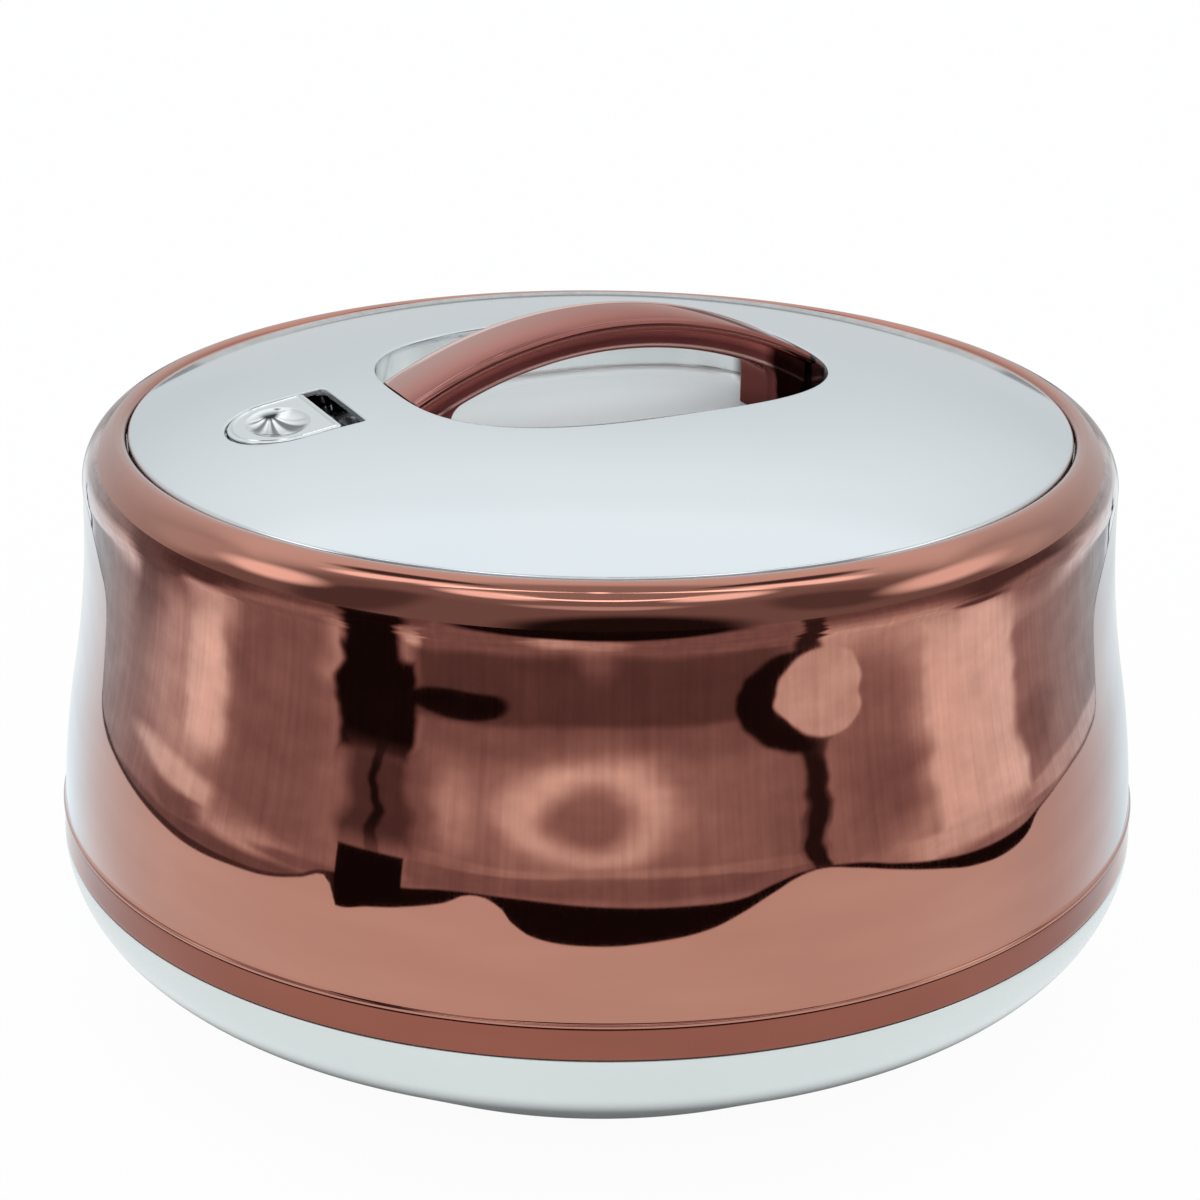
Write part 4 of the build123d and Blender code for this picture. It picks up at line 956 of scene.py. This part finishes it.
# Its far edge, where the gap begins, and the room's lower edge, where the gap ends.
TABLE_EDGE = (
    (-120, 112), (-101, 105), (-92, 100), (-88, 97), (-85, 84), (-82, 74.5), (-75, 71), (-68, 68),
    (-60, 65.5), (-53, 64.5), (-45, 66), (-40, 67.5), (-35, 71), (-31.4, 74), (-30.2, 66), (-26, 68),
    (-22, 70), (-17, 73.5), (-13.5, 77), (-11, 75), (-9, 69.5), (-6, 65.5), (0, 64), (6, 65), (12, 67.5),
    (16, 71.5), (20, 76.5), (24, 80.5), (26, 81), (30, 79), (36, 74.5), (42, 70), (48, 66), (54, 64.5),
    (58, 66), (61, 70.5), (64, 72), (70, 74), (78, 74), (83, 75), (86, 82), (89, 95), (98, 101), (120, 112),
)
ROOM_EDGE = (
    (-120, 112.4), (-101, 105.5), (-92, 100.5), (-88, 97.5), (-85, 84.8), (-82, 75.3), (-75, 72.6),
    (-68, 69.6), (-60, 67.8), (-53, 67.2), (-45, 67.8), (-40, 68.8), (-35, 72.2), (-32.4, 75.2), (-22, 76),
    (-17, 77.5),
    (-10, 77.5), (0, 76), (10, 75.4), (16, 76), (20, 79), (24, 81.3), (30, 80.5), (36, 76.5), (42, 73),
    (48, 70.6), (54, 69.6), (58, 70), (61, 71.4), (64, 72.4), (70, 74.4), (78, 74.4), (83, 75.4),
    (86, 82.4), (89, 95.4), (98, 101.4), (120, 112.4),
)
GAP_PATCHES = (((-55, 70), (24, 40), 0.10, 0.09, True),)
ROOM_PATCHES = (
    ((0, 40), (97, 72), 0.03, 0.46, True),
    ((180, 144), (70, 40), 0.05, 0.48, True),
    ((-180, 144), (70, 40), 0.05, 0.48, True),
    ((0, 162), (97, 24), 0.50, 0.25, True),
    ((-99, 112), (0.8, 14), 0.50, 0.08, True),
    ((99, 112), (0.8, 14), 0.50, 0.08, True),
    # left: lamp, bright rim below it, darker wall beside it
    ((-54, 70.0), (25, 3.4), 0.35, 0.24, False),
    ((-56, 74.5), (20, 3.2), 0.35, 0.42, False),
    ((-57, 76), (5.5, 5.0), 0.25, 0.28, False),
    ((-66, 140), (7, 34), 0.35, 0.20, True),
    ((-55, 145), (9, 16), 0.40, 0.12, False),
    ((-59, 99), (9, 17), 0.45, 0.75, False),
    ((-54.5, 102), (4.6, 13), 0.30, 1.25, False),
    ((-57, 82), (11, 2.6), 0.50, 1.05, False),
    ((-45, 77), (8, 4.5), 0.40, 0.95, False),
    ((-36, 75.5), (6, 2.0), 0.50, 0.30, False),
    ((-42, 108), (8, 30), 0.35, 0.36, True),
    # right: lamp, dim wall, bright rim
    ((60, 143), (14, 21), 0.40, 0.12, False),
    ((43, 100), (7, 19), 0.60, 0.80, True),
    ((51.5, 99), (8.5, 19.5), 0.14, 1.18, True),
    ((67, 126), (11, 14), 0.35, 0.42, False),
    ((64, 90), (5, 5.5), 0.45, 0.36, False),
    ((36, 94), (6.0, 10), 0.45, 0.33, False),
    ((48, 77), (9, 3.4), 0.55, 0.95, True),
    ((73, 77), (12, 2.2), 0.35, 0.78, True),
    ((53, 124), (5, 4), 0.45, 0.16, False),
    # middle: dim wall, pale wedge above, ringed glow below
    ((2, 122), (23, 44.5), 0.03, 0.33, True),
    ((0, 116), (23, 6.0), 0.14, 0.165, True),
    ((0, 132), (3.0, 9.5), 0.70, 0.70, False),
    ((-5, 137), (3.0, 10.5), 0.60, 0.85, False),
    ((2, 95), (21, 9.5), 0.20, 0.43, True),
    ((-1, 95.5), (13, 10.5), 0.35, 0.60, False),
    ((-1, 95.5), (9.2, 8.6), 0.34, 1.25, False),
    ((-0.5, 94.8), (6.0, 6.0), 0.45, 0.42, False),
    ((-16.5, 94), (2.4, 7), 0.55, 0.75, False),
    ((2, 84.8), (18, 0.9), 0.70, 0.60, True),
    # black gaps: left strip and blot, right strip and its pale leaf
    ((-28, 130), (4.2, 28), 0.25, 0.012, True),
    ((-27, 110), (5.2, 9.0), 0.12, 0.012, True),
    ((-17, 113), (6.0, 2.6), 0.14, 0.012, False),
    ((-26, 93.5), (4.5, 8.5), 0.35, 0.13, True),
    ((-26.2, 94), (0.7, 9), 0.60, 0.02, True),
    ((26, 125), (1.6, 35), 0.35, 0.05, True),
    ((26, 92), (1.2, 13), 0.35, 0.03, True),
    ((24.0, 111.5), (7.2, 9.0), 0.06, 0.015, False),
    ((34, 109), (6.5, 9.5), 0.50, 0.42, False),
    ((27.5, 112.3), (5.9, 7.8), 0.05, 0.92, False),
    ((0, 160), (19, 20), 0.12, 0.010, False),
    # behind the body, where nothing is known: lamps and gaps like those in front
    ((150, 100), (7, 22), 0.40, 1.05, True),
    ((-150, 100), (7, 22), 0.40, 1.05, True),
    ((128, 112), (4, 60), 0.40, 0.20, True),
    ((-128, 112), (4, 60), 0.40, 0.20, True),
)
NEAR_PATCHES = (((-26.3, 74), (4.2, 10.5), 0.03, 0.010, True),)
OUTLINE_TURN, OUTLINE_HEIGHT, FAR = 240.0, 200.0, 1e6
# The floor further out, in metres on axes turned to face the camera. The second patch is a painted shadow
# round the body, seen only in gloss.
FLOOR_PATCHES = (
    ((0.02, 0.30), (0.415, 0.90), 0.01, 0.95, True),
    # painted shadow: a dark round patch under and round the body
    ((0.0, 0.0), (0.131, 0.131), 0.10, 0.16, False),
)
# The walls and the ceiling, in degrees of bearing from the camera and of height.
SKY_PATCHES = (
    ((150, 10), (52, 70), 0.15, 0.54, True),
    ((-150, 10), (52, 70), 0.15, 0.54, True),
    ((6, 18), (25, 26), 0.25, 0.02, False),
    ((-58, 33), (13, 24), 0.30, 0.14, False),
    ((58, 40), (14, 16), 0.30, 0.16, False),
    ((180, 18), (62, 40), 0.40, 0.66, True),
    ((-180, 18), (62, 40), 0.40, 0.66, True),
    ((180, 50), (50, 26), 0.60, 0.95, False),
    ((-180, 50), (50, 26), 0.60, 0.95, False),
    ((-105, 30), (14, 14), 0.40, 0.72, False),
    ((105, 28), (14, 14), 0.40, 0.78, False),
    ((-84, 36), (13, 9), 0.45, 1.7, False),
    ((87, 31), (17, 9), 0.45, 1.45, False),
    ((0, 96), (400, 38), 0.12, 0.36, True),
    ((180, 60), (80, 16), 0.30, 1.05, True),
    ((-180, 60), (80, 16), 0.30, 1.05, True),
    ((0, 100), (400, 26), 0.20, 0.50, True),
    ((0, 58), (24, 3.5), 0.40, 0.85, False),
    ((-50, 71), (24, 5), 0.40, 1.9, False),
    ((52, 69), (22, 5), 0.40, 1.9, False),
    ((0, 73), (44, 1.2), 0.40, 3.6, False),
    ((90, 80), (6, 10), 0.40, 3.2, True),
    ((-90, 80), (6, 10), 0.40, 3.2, True),
    ((0, 90), (400, 1.3), 0.50, 3.0, True),
    ((-122, 68), (10, 9), 0.35, 0.10, False),
    ((-100, 66), (9, 9), 0.35, 2.0, False),
    ((122, 68), (10, 9), 0.35, 0.10, False),
    ((100, 66), (9, 9), 0.35, 2.0, False),
)
# The levels that the patches are laid over.
FLOOR_LEVEL, SKY_LEVEL, ROOM_LEVEL, TABLE_LEVEL, GAP_LEVEL = 0.22, 0.29, 0.90, 0.90, 0.012
CAMERA_BEARING = math.radians(26.0)
CAMERA_PLACE = (-0.2790, -0.5720, 0.3481)
CAMERA_TURN, CAMERA_DOWN, CAMERA_ROLL = -26.0 - 0.022, 21.406, 0.585
SCREEN_RADIUS, SCREEN_LOW, SCREEN_HIGH = 0.175, 0.018, 0.155
FLOOR_HALF = 6.0


def stage_thing(name, points, faces, finish):
    """A thing of the stage, which is no piece of the object, and the nodes of its material."""
    mesh = bpy.data.meshes.new(name)
    mesh.from_pydata(points, [], faces)
    thing = bpy.data.objects.new(name, mesh)
    bpy.context.scene.collection.objects.link(thing)
    material = bpy.data.materials.new(finish)
    mesh.materials.append(material)
    return thing, Light(material)


def make_floor():
    """A plain pale floor that keeps the object's shadow; polished metal sees its patches, and one of them
    is a painted shadow round the body.
    """
    corners = [(x * FLOOR_HALF, y * FLOOR_HALF, 0) for x, y in ((-1, -1), (1, -1), (1, 1), (-1, 1))]
    floor, light = stage_thing("floor", corners, [(0, 1, 2, 3)], "pale_floor")
    shader = light.nodes["Principled BSDF"]
    light.put(shader.inputs["Base Color"], (0.9, 0.9, 0.9))
    light.put(shader.inputs["Roughness"], 0.9)
    turned = light.new("ShaderNodeMapping", light.place(), Rotation=(0, 0, CAMERA_BEARING))
    level = light.patched(FLOOR_LEVEL, turned.outputs["Vector"], FLOOR_PATCHES)
    glow = light.new("ShaderNodeEmission", (0.95, 0.985, 1.0), level)
    white = light.new("ShaderNodeEmission")
    path = light.new("ShaderNodeLightPath").outputs
    plain = light.maths("MULTIPLY", path["Is Camera Ray"], 0.95)
    seen = light.either(plain, shader.outputs["BSDF"], white.outputs["Emission"])
    light.show(light.either(path["Is Glossy Ray"], seen, glow.outputs["Emission"]))


def make_screen():
    """A round screen close about the body, which only gloss sees: the room that it mirrors."""
    ring = SCREEN_RADIUS * unit(np.linspace(0, TURN, 181)[:-1])
    heights = np.linspace(SCREEN_LOW, SCREEN_HIGH, 5)
    points = np.vstack([at_height(ring, height) for height in heights])
    faces = grid_faces(len(heights), len(ring)).tolist()
    screen, light = stage_thing("round_screen", points.tolist(), faces, "room_seen_in_gloss")
    light.nodes.remove(light.nodes["Principled BSDF"])
    x, y, z = light.parts(light.place())
    bearing = light.bearing(x, y)
    height = light.maths("MULTIPLY", z, 1 / MM)
    place = light.pair(bearing, height)

    # the room: patches with uneven outlines, then creases and upright streaks
    drift = light.stretched(place, (0.07, 0.10, 0), 2.0, output="Color")
    shift = light.vector("MULTIPLY", light.vector("SUBTRACT", drift, (0.5, 0.5, 0)), (5.5, 4.0, 0))
    room = light.patched(ROOM_LEVEL, light.vector("ADD", place, shift), ROOM_PATCHES)
    room = light.varied(room, light.stretched(place, (0.16, 0.16, 0), 4.0, 0.6), 0.6, 0.70)
    room = light.varied(room, light.stretched(place, (1.3, 0.03, 0), 4.0, 0.6), 0.5, 0.75)

    # the table below it, with the dark gap between its far edge and the room
    table = light.patched(TABLE_LEVEL, place, TABLE_PATCHES)
    table = light.varied(table, light.stretched(place, (0.03, 0.06, 0), 2.0), 0.24, 0.88)
    gap = light.patched(GAP_LEVEL, place, GAP_PATCHES)
    table_edge, room_edge = light.outline(bearing, TABLE_EDGE), light.outline(bearing, ROOM_EDGE)
    level = light.above(height, table_edge, 0.35, table, gap)
    level = light.above(height, room_edge, 0.5, level, room)
    level = light.above(height, table_edge, 0.3, level, light.patched(level, place, NEAR_PATCHES))

    # dim light is warmer; towards the sides it goes cool, and behind the body plain
    aside = light.maths("ABSOLUTE", bearing)
    colour = light.blend(level, (1.0, 0.66, 0.72), (1.0, 1.10, 1.10))
    colour = light.blend(light.beyond(aside, 62.0, 0.04), colour, (1.0, 1.20, 1.30))
    colour = light.blend(light.beyond(aside, 95.0, 0.05), colour, (1.0, 1.0, 1.0))
    glow = light.new("ShaderNodeEmission", colour, level)
    clear = light.new("ShaderNodeBsdfTransparent")
    path = light.new("ShaderNodeLightPath").outputs
    light.show(light.either(path["Is Glossy Ray"], clear.outputs["BSDF"], glow.outputs["Emission"]))


def make_world():
    """White behind the object, even light on it, and a studio's walls and lamps in its gloss."""
    world = bpy.data.worlds.new("studio")
    bpy.context.scene.world = world
    light = Light(world)
    soft = light.nodes["Background"]
    light.put(soft.inputs["Color"], (0.80, 0.84, 0.86))
    light.put(soft.inputs["Strength"], 1.25)
    x, y, z = light.parts(light.new("ShaderNodeTexCoord").outputs["Generated"])
    height = light.maths("DEGREES", light.maths("ARCSINE", z))
    level = light.patched(SKY_LEVEL, light.pair(light.bearing(x, y), height), SKY_PATCHES)
    share = light.maths("MULTIPLY", level, 1.6)
    tint = light.blend(share, (1.0, 0.74, 0.78), (0.95, 0.985, 1.0))
    studio = light.new("ShaderNodeBackground", tint, level)
    white = light.new("ShaderNodeBackground", (1, 1, 1))
    path = light.new("ShaderNodeLightPath").outputs
    mirrored = light.either(path["Is Glossy Ray"], soft.outputs["Background"], studio.outputs["Background"])
    light.show(light.either(path["Is Camera Ray"], mirrored, white.outputs["Background"]))


def make_camera():
    """A long lens from above the front left, 21 degrees down, with a slight roll."""
    data = bpy.data.cameras.new("camera")
    data.lens, data.sensor_width = 75.54, 36.0
    data.clip_start, data.clip_end = 0.01, 50
    camera = bpy.data.objects.new("camera", data)
    bpy.context.scene.collection.objects.link(camera)
    camera.location = CAMERA_PLACE
    turn, down, roll = (math.radians(degrees) for degrees in (CAMERA_TURN, CAMERA_DOWN, CAMERA_ROLL))
    camera.rotation_mode = "QUATERNION"
    aim = Euler((math.pi / 2 - down, 0, turn), "XYZ").to_quaternion()
    camera.rotation_quaternion = aim @ Quaternion((0, 0, 1), roll)
    bpy.context.scene.camera = camera


make_floor()
make_screen()
make_world()
make_camera()
bpy.context.scene.view_settings.view_transform = "Standard"

bpy.context.view_layer.update()
